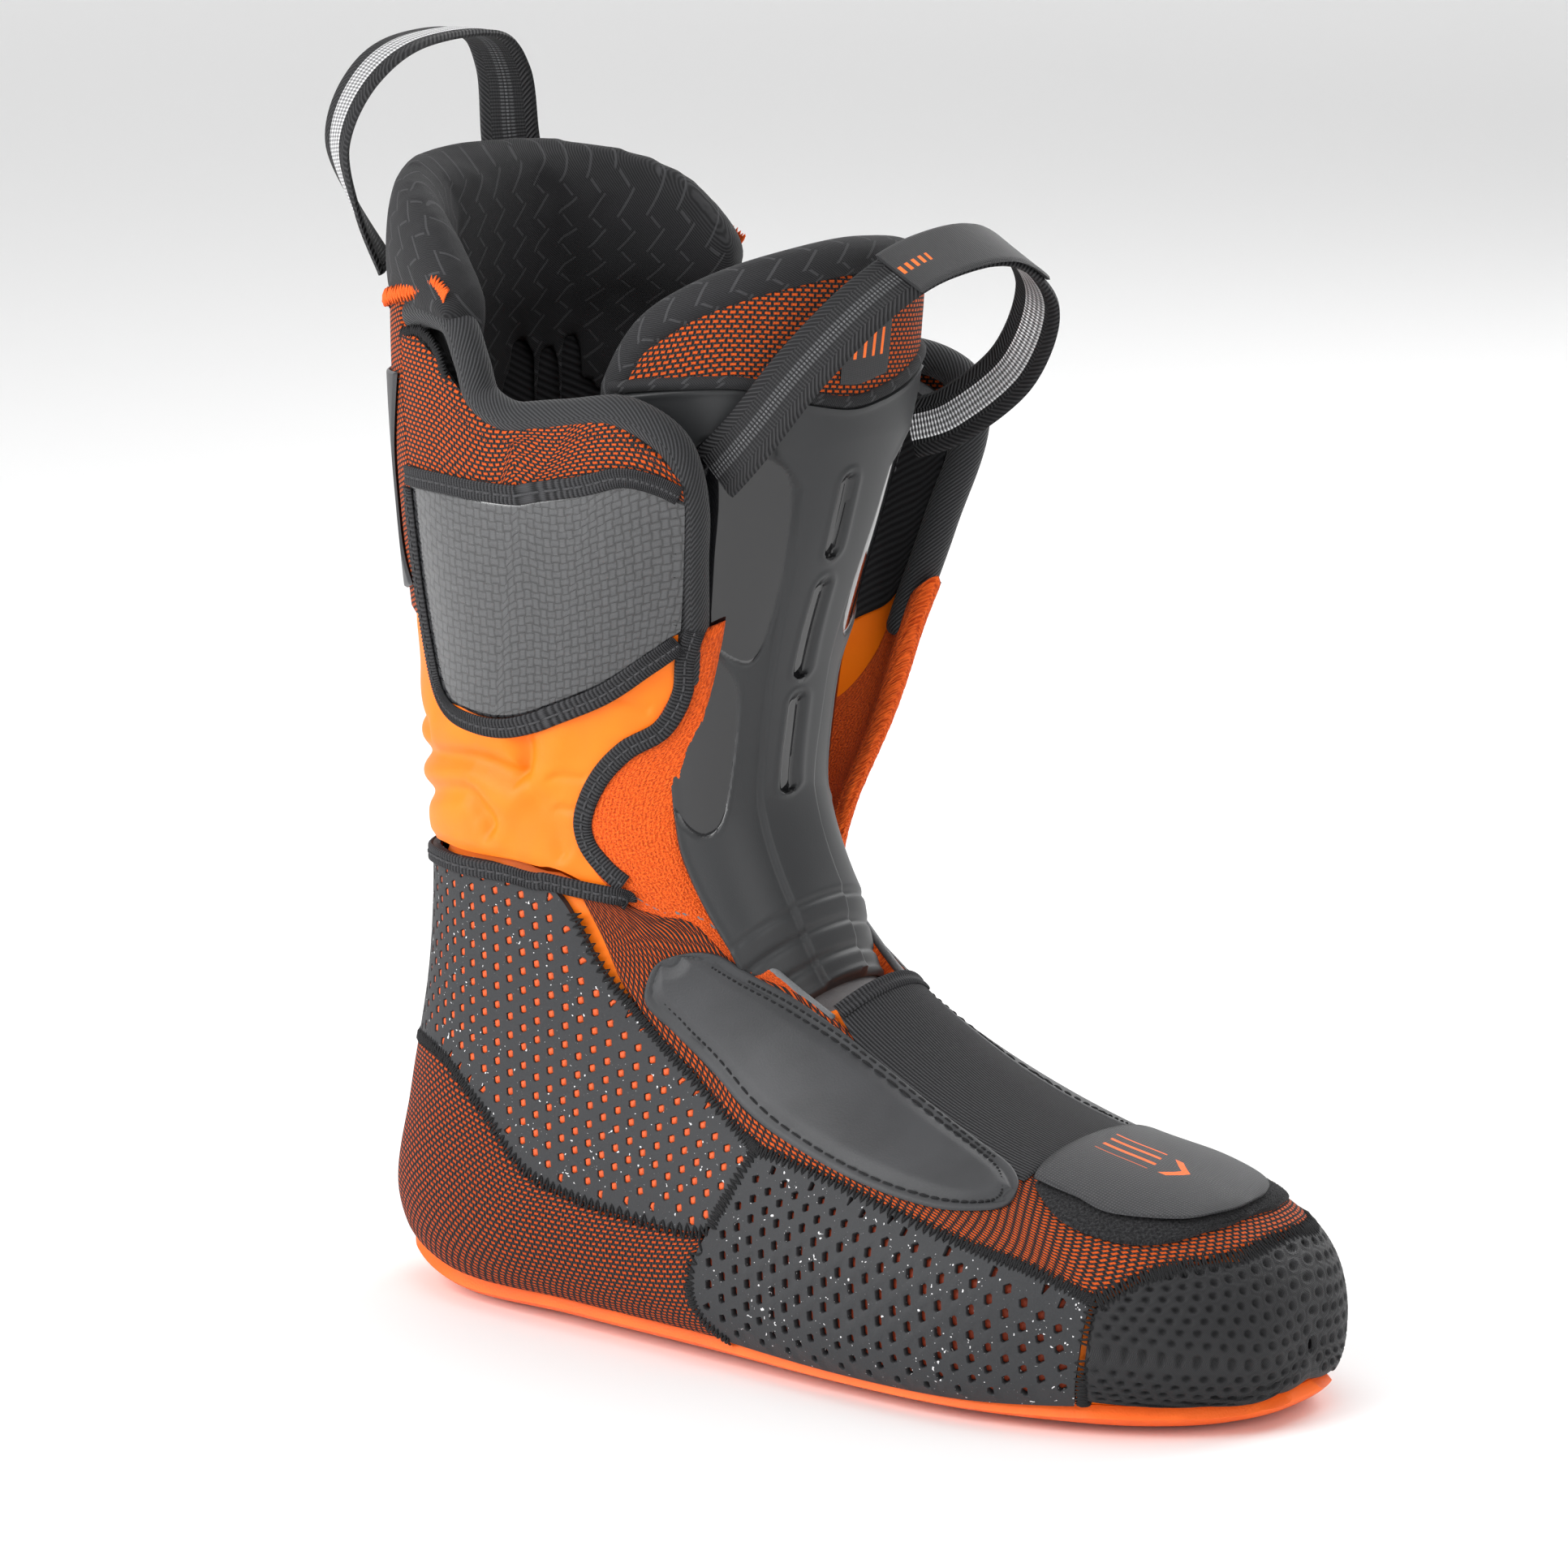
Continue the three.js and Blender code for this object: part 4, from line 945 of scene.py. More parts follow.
def flap_finish():
    """Woven textile with a printed mark: three bars and a chevron."""
    finish = Finish("flap_textile", roughness=0.6)
    _, along, across = finish.cloth_map()
    weave = along.wave(0.8) * across.wave(0.8)
    bars = (1 - (along + 10).math("ABSOLUTE").between(8.4, 8.8)) * (
        1 - (across.repeat(4.2) * 4.2).between(0.5, 0.75)) * (1 - (across - 0.2).math(
            "ABSOLUTE").between(6.0, 6.2))
    chevron = (along - 7 + across.math("ABSOLUTE") * 0.8).math("ABSOLUTE")
    arrow = (1 - chevron.between(1.1, 1.4)) * (1 - across.math("ABSOLUTE").between(5.2, 5.5))
    mark = bars.math("MAXIMUM", arrow)
    base = finish.mix(weave, rgb(0.018, 0.018, 0.020), rgb(0.055, 0.056, 0.06))
    finish.set(base_color=finish.mix(mark, base, rgb(0.95, 0.14, 0.01)))
    return finish.bump(weave, 0.15).material


flap_textile = flap_finish()


def label_finish(name, bars):
    """A woven satin label with plain orange bars, no lettering."""
    finish = Finish(name, roughness=0.6)
    _, along, across = finish.cloth_map()
    weave = along.wave(0.6) * 0.5 + across.wave(0.4) * 0.5
    _, high, pitch, reach = bars
    rows = (1 - (along.repeat(pitch) * pitch).between(0.45, 0.65))
    inside = (1 - along.math("ABSOLUTE").between(high, high + 0.2)) * (
        1 - across.math("ABSOLUTE").between(reach, reach + 0.2))
    mark = rows * inside
    base = finish.mix(weave, rgb(0.012, 0.012, 0.013), rgb(0.032, 0.032, 0.034))
    finish.set(base_color=finish.mix(mark, base, rgb(0.95, 0.16, 0.01)))
    return finish.bump(weave, 0.1).material


tongue_label_finish = label_finish("label", (0, 6.5, 3.4, 3.6))
sleeve_label_finish = label_finish("sleeve_label", (0, 11, 2.4, 1.3))


def felt_finish():
    finish = Finish("board", roughness=0.95)
    fibre = finish.noise(finish.place(), 900, 4, 0.7)
    finish.set(base_color=finish.mix(fibre, rgb(0.28, 0.24, 0.18), rgb(0.45, 0.40, 0.32)))
    return finish.bump(fibre, 0.2).material


felt = felt_finish()
print("finishes:", len(bpy.data.materials))

# %% [markdown]
# ## The foot
# The foam shell of the foot is one moulded wall, closed round the toe. Its outside shows through
# the holes of the perforated panels and its inside is the lining.

# %% Foam of the foot
def ring_mesh(line, cells, heights, pole=0.03, edge=1.0, relief=None):
    """A wall all round the last from the toe to a line, closed at the toe."""
    columns, rows = cells
    mesh = block(columns, rows)
    u, v, w = read_points(mesh).T
    angle = -180 + 360 * u
    end = np.interp(np.abs(angle), *np.array(line, float).T)
    start = np.where(w > 0.5, pole[0], pole[1]) if isinstance(pole, tuple) else pole
    k = start + (end - start) * v
    table_angle, table_v = np.meshgrid(-180 + 360 * np.arange(columns + 1) / columns,
                                       np.arange(rows + 1) / rows, indexing="ij")
    table_end = np.interp(np.abs(table_angle), *np.array(line, float).T)
    first = pole[0] if isinstance(pole, tuple) else pole
    table = on_last(table_angle, first + (table_end - first) * table_v, 0)
    over = np.linalg.norm(np.diff(table, axis=1), axis=2)
    radius = np.concatenate([np.zeros((columns + 1, 1)), np.cumsum(over, 1)], 1)
    i, j = np.rint(u * columns).astype(int), np.rint(v * rows).astype(int)
    plane = radius[i, j][:, None] * np.stack([np.sin(np.radians(angle)), np.cos(np.radians(angle))], 1)
    inside = (radius[:, -1:] - radius)[i, j]
    low, high = heights
    middle, half = (low + high) / 2, (high - low) / 2 * soft_edge(inside, edge)
    height = middle + np.where(w > 0.5, half, -half)
    deep = np.zeros(len(u))
    if relief is not None:
        extra, deep = relief(plane, inside)
        height = height + np.where(w > 0.5, extra, 0)
    write_points(mesh, to_frame(on_last(angle, k, height)))
    write_map(mesh, plane)
    # 'deep' holds the pit mask, painted darker as shade by the toe-cap finish.
    layer = mesh.attributes.new("deep", "FLOAT", "POINT")
    layer.data.foreach_set("value", deep.astype(np.float32))
    close_mesh(mesh, 0.00001)
    return mesh


THROAT = [[0, 7.9], [26, 8.1], [35, 8.9], [44, 10.0], [67, 10.95], [87, 11.8], [103, 12.35], [130, 12.8],
          [180, 13.05]]
piece("foot_foam", ring_mesh(THROAT, (110, 80), (-6, 0), (0.03, 1.75), 2.0),
      orange_foam, "foot", ("toe_foam_shell", "heel_foam_shell"))

# %% [markdown]
# The sole pad wraps a little way up the sides. Its rim is the bright line under the whole boot.
# A bed of felt and a footbed lie inside.

# %% Sole, board and footbed
SOLE_EDGE = np.array([[0.95, 168], [1.3, 140], [2.4, 126], [3.5, 123], [4.4, 128], [5.8, 133], [7, 132],
                      [8, 137], [9, 146], [9.5, 157], [9.75, 168]])


def sole_mesh():
    columns, rows = 220, 44
    mesh = block(columns, rows)
    u, v, w = read_points(mesh).T
    k = SOLE_EDGE[0, 0] + (SOLE_EDGE[-1, 0] - SOLE_EDGE[0, 0]) * u
    start = np.interp(k, *SOLE_EDGE.T) + 0.5
    angle = start + (360 - 2 * start) * v
    point = last_point(angle, k)[0]
    rim = np.minimum(np.minimum(v, 1 - v) * 140, np.minimum(u, 1 - u) * 300)
    bulge = 3.6 * soft_edge(rim, 3.0)
    height = np.where(w > 0.5, 0.3 + bulge, 0.3)
    where = on_last(angle, k, height)
    where[:, 2] = np.maximum(where[:, 2], np.where(w > 0.5, 0, 0.4))
    write_points(mesh, to_frame(where))
    write_map(mesh, point[:, :2])
    close_mesh(mesh)
    return mesh


piece("sole_pad", sole_mesh(), sole_foam, "foot", ("outsole_foam",))


def bed_mesh(bottom, thickness, side_gap, cup):
    """A flat bed cut to the hollow, its edge turned up by 'cup' at the heel."""
    mesh = block(60, 24)
    u, v, w = read_points(mesh).T
    k = 2.9 + 5.6 * u
    _, back, half, shift, _, _, _ = stations(k)
    round_end = np.sin(math.pi * np.clip(np.minimum(u, 1 - u) * 60 / 8 + 0.25, 0, 1) / 2)
    side = (v - 0.5) * 2
    y = shift + side * (half - 6 - side_gap) * round_end
    x = back[:, 0]
    lift = cup * np.abs(side) ** 3 * step(0.3, 0.9, u)
    z = bottom + w * thickness + lift
    write_points(mesh, to_frame(np.stack([x, y, z], 1)))
    write_map(mesh, np.stack([x, y], 1))
    close_mesh(mesh)
    return mesh


piece("lasting_board", bed_mesh(10.4, 1.5, 12, 0), felt, "foot", ("insole_board",))
piece("foot_bed", bed_mesh(12.3, 4, 12, 3), lining_knit, "foot", ("footbed",))

# %% [markdown]
# ### Knit panels
# The heel panel wraps the heel. The vamp is one U of knit from ankle to ankle round the toes; the
# eyestays, the elastic and the patch lie over it.

# %% Heel and vamp knit
HEEL_TOP = [[90, 7.3], [91, 8.1], [93, 8.9], [98, 9.9], [112, 10.7], [130, 11.2], [153, 11.45], [180, 11.55]]
HEEL_LOW = [[127, 6.7], [130, 7.4], [134, 8.1], [140, 8.9], [147, 9.4], [154, 9.7], [165, 9.88], [180, 9.95]]
QUARTER_TOP = [[66, 7.4], [60.5, 8.4], [61.5, 9.2], [66, 9.9], [84, 11.5], [103, 12.3], [130, 12.75],
               [153, 12.95],
               [180, 13.05]]
FOREFOOT_TOP = [[66, 7.4], [62, 6.35], [61, 5.15], [65, 4.4], [73, 3.65]]
FOREFOOT_LOW = [[128, 6.76], [131, 5.85], [128, 4.9], [122, 4.2], [118, 3.7]]

piece("heel_cloth", panel_mesh(around(HEEL_LOW), around(HEEL_TOP), (150, 24), (0.2, 2.3), edge=1.2),
      fine_knit, "foot", ("heel_knit",))

vamp_outer = [[80, 11.5], [70, 10.6], [65, 9.9], [62, 9.2], [61, 8.4], [66, 7.5], [63, 6.4], [62, 5.2],
              [65, 4.4], [72, 3.65], [56, 3.1], [38, 2.45], [18, 2.12], [0, 2.05]]
vamp_inner = [[67, 10.98], [55, 10.45], [46, 10.03], [38, 9.1], [31, 8.6], [27, 8.2], [24, 7.5], [23, 6.6],
              [22, 5.8], [21, 5.2], [18, 4.8], [12, 4.5], [6, 4.3], [0, 4.2]]


def whole(points):
    """A line that ends on the centre line, carried on to the other side."""
    return points + mirrored(points[-2::-1])


piece("vamp_cloth", panel_mesh(whole(vamp_inner), whole(vamp_outer), (240, 24), (0.2, 2.3), edge=1.2),
      knit, "foot", ("vamp_knit_front", "vamp_knit_lateral", "vamp_knit_medial"))

# %% [markdown]
# ### Perforated foam
# These panels are punched in a triangular lattice. The lattice is cut flat: a sheared grid, an
# octagonal hole in each cell, and the edge cells drawn out to the outline. Then the flat piece is
# rolled onto the last: a chart unrolls the last into millimetres, and a few Newton steps turn the
# chart round. In the quarters the orange foam bulges through the holes; in the forefoot they
# are deep.

# %% Perforated panels
HEEL_AXIS = 38
HEEL_ROLL = 44
LEAN = 0.4


def unroll(points):
    """The last's side walls unrolled flat: millimetres round the heel and up."""
    x, y, z = np.moveaxis(points, -1, 0)
    ahead = x > HEEL_AXIS
    radial = np.where(ahead, np.abs(y), np.hypot(x - HEEL_AXIS, y))
    turned = HEEL_ROLL * np.arctan2(np.abs(y), HEEL_AXIS - x)
    run = np.where(ahead, x - HEEL_AXIS + HEEL_ROLL * math.pi / 2, turned)
    lean = LEAN * np.clip((z - 34) / 14, -1, 1)
    return np.stack([run, z + lean * (HEEL_ROLL - radial)], -1)


def turn_of(q):
    """Degrees round the last. Even steps of q are about even steps of cloth, with q = 0 at the
    widest line, where even steps of angle would jump."""
    power = np.where(q > 0, 1.1, 2.2)
    curved = np.abs(np.clip(q, -0.818, 1)) ** power
    return 90 - np.degrees(np.arcsin(np.sign(q) * curved)) + 129 * np.maximum(-0.818 - q, 0)


def roll_on(flat, sign, reach):
    """The angle and station of flat chart points, by nearest sample and Newton steps."""
    q, k = np.meshgrid(np.linspace(-1.21, 0.62, 110), np.linspace(*reach, 90), indexing="ij")
    samples = unroll(last_point(sign * turn_of(q), k)[0]).reshape(-1, 2)
    nearest = np.empty(len(flat), int)
    for first in range(0, len(flat), 500):
        some = flat[first:first + 500]
        nearest[first:first + 500] = np.argmin(((samples[None] - some[:, None]) ** 2).sum(-1), 1)
    q, k = q.ravel()[nearest], k.ravel()[nearest]
    for _ in range(5):
        base = unroll(last_point(sign * turn_of(q), k)[0])
        by_q = (unroll(last_point(sign * turn_of(q + 0.002), k)[0]) - base) / 0.002
        by_k = (unroll(last_point(sign * turn_of(q), k + 0.01)[0]) - base) / 0.01
        miss = flat - base
        area = by_q[:, 0] * by_k[:, 1] - by_q[:, 1] * by_k[:, 0]
        area = np.where(np.abs(area) < 1e-3, 1e-3, area)
        move_q = (miss[:, 0] * by_k[:, 1] - miss[:, 1] * by_k[:, 0]) / area
        move_k = (by_q[:, 0] * miss[:, 1] - by_q[:, 1] * miss[:, 0]) / area
        q = q + np.clip(move_q, -0.02, 0.02)
        k = k + np.clip(move_k, -0.12, 0.12)
    return sign * turn_of(q), k


def outline_reach(points, outline):
    """Signed distance to a closed outline, positive inside, and the nearest outline point."""
    start, end = outline, np.roll(outline, -1, 0)
    edge = end - start
    from_start = points[:, None] - start[None]
    share = (from_start * edge).sum(-1) / np.maximum((edge ** 2).sum(-1), 1e-9)
    foot = start + edge * np.clip(share, 0, 1)[..., None]
    gap = np.linalg.norm(points[:, None] - foot, axis=-1)
    nearest = gap.argmin(1)
    x, y = points[:, None, 0], points[:, None, 1]
    level = (start[:, 1] > y) != (end[:, 1] > y)
    crossing = start[:, 0] + (y - start[:, 1]) * edge[:, 0] / np.where(edge[:, 1] == 0, 1e-9, edge[:, 1])
    inside = (level & (x < crossing)).sum(1) % 2 == 1
    rows = np.arange(len(points))
    return np.where(inside, 1, -1) * gap[rows, nearest], foot[rows, nearest]


PITCH = 5.3
HOLE = 1.42
LATTICE_TURN = math.radians(30)


def perforated_mesh(lines, side, domes):
    """A punched panel whose outline is made of pattern lines, joined end to end."""
    sign = -1 if side is mirrored else 1
    border = np.concatenate([line_at(points, np.linspace(0, 1, 50)) for points in lines])
    outline = unroll(last_point(sign * border[:, 0], border[:, 1])[0])
    middle = (outline.min(0) + outline.max(0)) / 2
    size = (outline.max(0) - outline.min(0)).max() * 1.6
    cells = int(size / PITCH)
    bm = bmesh.new()
    bmesh.ops.create_grid(bm, x_segments=cells, y_segments=cells, size=cells * PITCH / 2)
    for vert in bm.verts:
        x = vert.co.x + vert.co.y * 0.5
        y = vert.co.y * math.sqrt(0.75)
        vert.co.x = x * math.cos(LATTICE_TURN) - y * math.sin(LATTICE_TURN) + middle[0]
        vert.co.y = x * math.sin(LATTICE_TURN) + y * math.cos(LATTICE_TURN) + middle[1]
    centres = np.array([face.calc_center_median()[:2] for face in bm.faces])
    depth = outline_reach(centres, outline)[0]
    gone = [face for face, inside in zip(bm.faces, depth) if inside < 0.4]
    bmesh.ops.delete(bm, geom=gone, context="FACES")
    bmesh.ops.subdivide_edges(bm, edges=bm.edges[:], cuts=1, use_grid_fill=False)
    rim = [vert for vert in bm.verts if vert.is_boundary]
    feet = outline_reach(np.array([vert.co[:2] for vert in rim]), outline)[1]
    for vert, foot in zip(rim, feet):
        vert.co.x, vert.co.y = foot
    faces = list(bm.faces)
    centres = np.array([face.calc_center_median()[:2] for face in faces])
    depth = outline_reach(centres, outline)[0]
    punched = [face for face, inside in zip(faces, depth) if inside > HOLE + 0.8]
    bmesh.ops.inset_individual(bm, faces=punched, thickness=0.8, use_even_offset=True)
    for face in punched:
        centre = face.calc_center_median()
        for vert in face.verts:
            away = (vert.co - centre).normalized()
            vert.co = centre + away * HOLE
    bmesh.ops.inset_individual(bm, faces=punched, thickness=0.12, depth=-0.15)
    walls = bmesh.ops.extrude_discrete_faces(bm, faces=punched)["faces"]
    floor = -0.55 if domes else -1.75
    bmesh.ops.translate(bm, verts=list({v for f in walls for v in f.verts}), vec=(0, 0, floor))
    for face in walls:
        face.material_index = 1
    raised = bmesh.ops.inset_individual(bm, faces=walls, thickness=0.35, depth=0.35 if domes else 0.1)
    for face in raised["faces"]:
        face.material_index = 1
    peaks = bmesh.ops.poke(bm, faces=walls, offset=0.2 if domes else 0.05)
    for face in peaks["faces"]:
        face.material_index = 1
    edges = [edge for edge in bm.edges if edge.is_boundary]
    skirt = bmesh.ops.extrude_edge_only(bm, edges=edges)["geom"]
    hem = [item for item in skirt if isinstance(item, bmesh.types.BMVert)]
    bmesh.ops.translate(bm, verts=hem, vec=(0, 0, -2.0))
    bmesh.ops.recalc_face_normals(bm, faces=bm.faces[:])
    mesh = bpy.data.meshes.new("perforated")
    bm.to_mesh(mesh)
    bm.free()
    flat = read_points(mesh)
    angle, k = roll_on(flat[:, :2], sign, (3.2, 13.4))
    write_map(mesh, flat[:, :2])
    write_points(mesh, to_frame(on_last(angle, k, 2.3 + flat[:, 2])))
    if sign < 0:
        mesh.flip_normals()
    mesh.shade_smooth()
    mesh.set_sharp_from_angle(angle=math.radians(50))
    return mesh, len(punched)


MIDDLE_SEAM = [[66, 7.4], [80, 7.33], [91, 7.28], [108, 7.06], [128, 6.76]]
QUARTER = (HEEL_TOP, [[180, 11.55], [180, 13.05]], QUARTER_TOP[::-1], MIDDLE_SEAM[:3])
FOREFOOT = (FOREFOOT_LOW, [[118, 3.7], [96, 3.68], [73, 3.65]], FOREFOOT_TOP[::-1], MIDDLE_SEAM)
for side, place in SIDES:
    quarter, holes = perforated_mesh(QUARTER, place, True)
    piece(f"quarter_foam_{side}", quarter, [perforated, dome_foam], "foot",
          (f"quarter_{side}",))
    # The forefoot holes take the darker foam copy, painted shade at their bottoms.
    forefoot, more = perforated_mesh(FOREFOOT, place, False)
    piece(f"forefoot_foam_{side}", forefoot, [perforated, hole_foam_painted_shade], "foot",
          (f"forefoot_{side}",))
    print(side, "holes:", holes, "and", more)

# %% [markdown]
# ### Toe cap
# A thick three-dimensional mesh, its cells sunk in a triangular lattice round the toe.

# %% Honeycomb toe cap
CELL = 4.6


def lattice_gap(plane, pitch):
    """Distance to the nearest point of a triangular lattice."""
    gaps = []
    for shift in (0, 0.5):
        x = (plane[:, 0] / pitch + shift) % 1
        y = (plane[:, 1] / (pitch * math.sqrt(3)) + shift) % 1
        gaps.append(np.hypot(np.minimum(x, 1 - x) * pitch,
                             np.minimum(y, 1 - y) * pitch * math.sqrt(3)))
    return np.minimum(*gaps)


def honeycomb_relief(plane, inside):
    gap = lattice_gap(plane, CELL)
    pit = 1 - step(0.5, 1.35, gap)
    rim = np.exp(-((gap - 1.75) / 0.45) ** 2)
    fade = step(1.0, 3.5, inside)
    # The second value marks the pits, which the toe-cap finish paints darker as shade.
    return (rim * 0.25 - pit * 0.75) * fade, pit * fade


TOE_CAP = [[0, 2.0], [30, 2.1], [48, 2.75], [60, 3.15], [76, 3.6], [112, 3.6], [121, 2.1], [140, 1.0],
           [180, 0.75]]
piece("toe_mesh", ring_mesh(TOE_CAP, (400, 100), (0.5, 2.5), 0.03, 1.4, honeycomb_relief), honeycomb,
      "foot", ("toe_cap",))

# %% [markdown]
# ### Overlays of the foot
# The eyestays are soft synthetic leather with a turned edge and a stitch line; the elastic joins
# them. The patch and the toe flap lie on the toes.

# %% Eyestays, elastic, patch and toe flap
EYE_INSIDE = [[50, 9.8], [43, 9.5], [37.5, 9.0], [31, 8.35], [25.5, 7.4], [23, 6.2], [26, 5.3], [34, 4.95]]
EYE_OUTSIDE = [[57, 9.95], [61, 9.6], [58, 9.0], [57, 8.35], [60, 7.35], [59, 6.4], [54, 5.5], [44, 4.9]]


def eyestay_relief(place, plane, inside):
    trench = -0.35 * np.exp(-((inside - 3.0) / 0.5) ** 2)
    return trench + 0.9 * step(3.0, 7.0, inside)


for side, place in SIDES:
    outside, inside_line = place(EYE_OUTSIDE), place(EYE_INSIDE)
    piece(f"eyestay_leather_{side}",
          panel_mesh(inside_line, outside, (150, 40), (2.2, 3.4), edge=0.8, relief=eyestay_relief,
                     ends=0.05), leather, "foot", (f"eyestay_{side}",))
    seam = place([[50, 9.62], [57, 9.55], [55, 9.0], [54, 8.35], [57, 7.35], [56, 6.4], [51, 5.55],
                  [43, 5.08], [35, 5.15], [29, 5.45], [26.5, 6.2], [29, 7.4], [34.5, 8.3], [40.5, 8.95],
                  [45, 9.4]])
    piece(f"eyestay_stitching_{side}", stitches(seam, 3.35), thread_black, "foot")
    second = place([[38.8, 8.95], [32.6, 8.3], [27.2, 7.4], [24.6, 6.2], [27.4, 5.4]])
    piece(f"eyestay_edge_stitching_{side}", stitches(second, 3.35), thread_black, "foot")

ELASTIC = [[24, 7.95], [27, 7.1], [26, 6.1], [31, 4.98]]
piece("elastic_band", panel_mesh(mirrored(ELASTIC), ELASTIC, (60, 60), (2.3, 3.1), edge=0.7), elastic,
      "foot", ("instep_elastic",))
hem_line = [[-24, 7.93], [-12, 7.96], [0, 7.97], [12, 7.96], [24, 7.93]]
piece("elastic_hem", tape_mesh(hem_line, 4.5, (2.9, 3.7)), edge_tape, "foot")

PATCH_LEFT = [[-30, 4.9], [-44, 4.3], [-46, 3.6], [-38, 3.05], [-16, 2.62]]
PATCH_RIGHT = [[30, 4.9], [42, 4.3], [44, 3.6], [32, 2.9], [10, 2.55]]


def pile_relief(place, plane, inside):
    tuft = np.sin(plane[:, 0] * 3.1 + 2 * np.sin(plane[:, 1] * 1.7)) * np.sin(plane[:, 1] * 2.7)
    return 0.2 * tuft * step(0.5, 1.5, inside)


piece("loop_patch", panel_mesh(PATCH_LEFT, PATCH_RIGHT, (110, 130), (2.2, 3.6), edge=1.2,
                               relief=pile_relief, ends=0.03), pile, "foot",
      ("toe_loop_patch",))

FLAP_LEFT = [[-30, 4.98], [-33, 4.4], [-36, 3.9], [-27, 3.1], [-8, 2.72]]
FLAP_RIGHT = [[30, 4.98], [26, 4.4], [25, 3.8], [20, 3.1], [6, 2.75]]
piece("toe_flap_cloth", panel_mesh(FLAP_LEFT, FLAP_RIGHT, (80, 60), (4.7, 5.5), edge=0.5, ends=0.07),
      flap_textile, "toe_flap", ("toe_flap",))

# %% [markdown]
# ### Seams
# The panels are butted and overlocked: a thread runs to and fro across each joint.

# %% Overlock seams of the foot
SEAM_HEIGHT = 2.5
for side, place in SIDES:
    seams = {
        "heel": [p for p in HEEL_TOP] + [[180, 11.55]],
        "quarter": [[80, 11.25], [66.5, 9.95], [62, 9.2], [61, 8.4], [64.5, 7.6], [66, 7.4]],
        "forefoot": [[66, 7.4], [62, 6.35], [61.5, 5.15], [65, 4.4], [73, 3.62]],
        "middle": MIDDLE_SEAM,
        "toe": [[73, 3.62], [90, 3.62], [104, 3.6], [117, 3.6]],
    }
    for number, (name, line) in enumerate(seams.items()):
        line = place(line)
        piece(f"overlock_{name}_{side}", zigzag(line, 2.0, 1.7, 0.36, SEAM_HEIGHT, seed=number + 3),
              thread_black, "foot")
toe_seam = [[-73, 3.58], [-58, 3.1], [-47, 2.72], [-28, 2.12], [0, 2.02], [28, 2.12], [47, 2.72],
            [58, 3.1], [73, 3.58]]
piece("overlock_toe_top", zigzag(toe_seam, 3.0, 1.5, 0.34, SEAM_HEIGHT, seed=11), thread_black,
      "foot")
for side, place in SIDES:
    ankle_tape_line = place([[64, 10.9], [67, 11.05], [87, 11.75], [103, 12.25], [130, 12.7], [155, 12.9],
                             [181, 12.98]])
    piece(f"ankle_tape_{side}", tape_mesh(ankle_tape_line, 5, (2.2, 3.6)), edge_tape, "foot",
          ("ankle_tape",) if side == "lateral" else ())
    piece(f"ankle_tape_stitching_{side}", stitches(ankle_tape_line, 3.5), thread_grey, "foot")
    throat = place([[66, 11.1], [56, 10.55], [46, 10.12], [40, 9.65], [34, 9.05], [29, 8.35], [26, 7.9]])
    piece(f"throat_edge_{side}", rod_mesh(throat, 1.5, 0.7, flatten=0.8), grey_foam, "foot")
print("foot pieces done,", triangles_made, "triangles so far")

# %% [markdown]
# ## The ankle
# The ankle is one moulded foam wall with fold bulges behind. It has to follow two joints, so it
# is cut at one level: the lower part is given a bend from the foot to the cuff, and the upper part one
# from the cuff to the flap of its side; neither bend is applied, so both stay where they were built.
# Both cuts come from one mesh, so the line doesn't show.

# %% Cutting a piece at a level
LEVEL = 152 * MM
FLEX_START = Vector((0, 0, 124 * MM))
FLEX_END = Vector((0, 0, LEVEL - 0.001))
OPEN_START = Vector((0, 0, LEVEL + 0.001))
OPEN_END = Vector((0, 0, 172 * MM))


def cut_at_level(mesh, keep_above, name):
    """A copy of a mesh with only what is above or below the level."""
    bm = bmesh.new()
    bm.from_mesh(mesh)
    bmesh.ops.bisect_plane(bm, geom=bm.verts[:] + bm.edges[:] + bm.faces[:], plane_co=(0, 0, LEVEL),
                           plane_no=(0, 0, 1), clear_inner=keep_above, clear_outer=not keep_above)
    part = mesh.copy()
    part.name = name
    bm.to_mesh(part)
    bm.free()
    return part


def ankle_piece(name, mesh, material, side, replaces=()):
    """Two pieces from one mesh: below the level foot to cuff, above it cuff to flap."""
    lower = piece(f"{name}_lower", cut_at_level(mesh, False, f"{name}_lower"), material,
                  bend=("foot", "cuff", FLEX_START, FLEX_END), replaces=replaces)
    flap = f"{side}_flap"
    upper = piece(f"{name}_upper", cut_at_level(mesh, True, f"{name}_upper"), material,
                  bend=("cuff", flap, OPEN_START, OPEN_END))
    return lower, upper


# %% Moulded foam of the ankle
FOLDS = [
    ([[170, 13.72], [140, 13.6], [112, 13.34], [98, 13.01], [95, 13.13], [96, 13.34]], 2.6, 2.2),
    ([[180, 13.36], [150, 13.34], [119, 13.16], [110, 12.89], [107, 12.71]], 2.2, 2.2),
    ([[97, 12.98], [95, 12.89], [90, 12.47], [86, 11.99]], 0.9, 1.8),
    ([[180, 13.98], [165, 13.97], [150, 13.94], [135, 13.75]], 1.8, 2.0),
    ([[89, 12.8], [82, 12.62]], 0.5, 0.9),
    ([[88, 12.47], [82, 12.32]], 0.5, 0.9),
    ([[74, 13.22], [65, 12.95]], 0.5, 0.9),
]


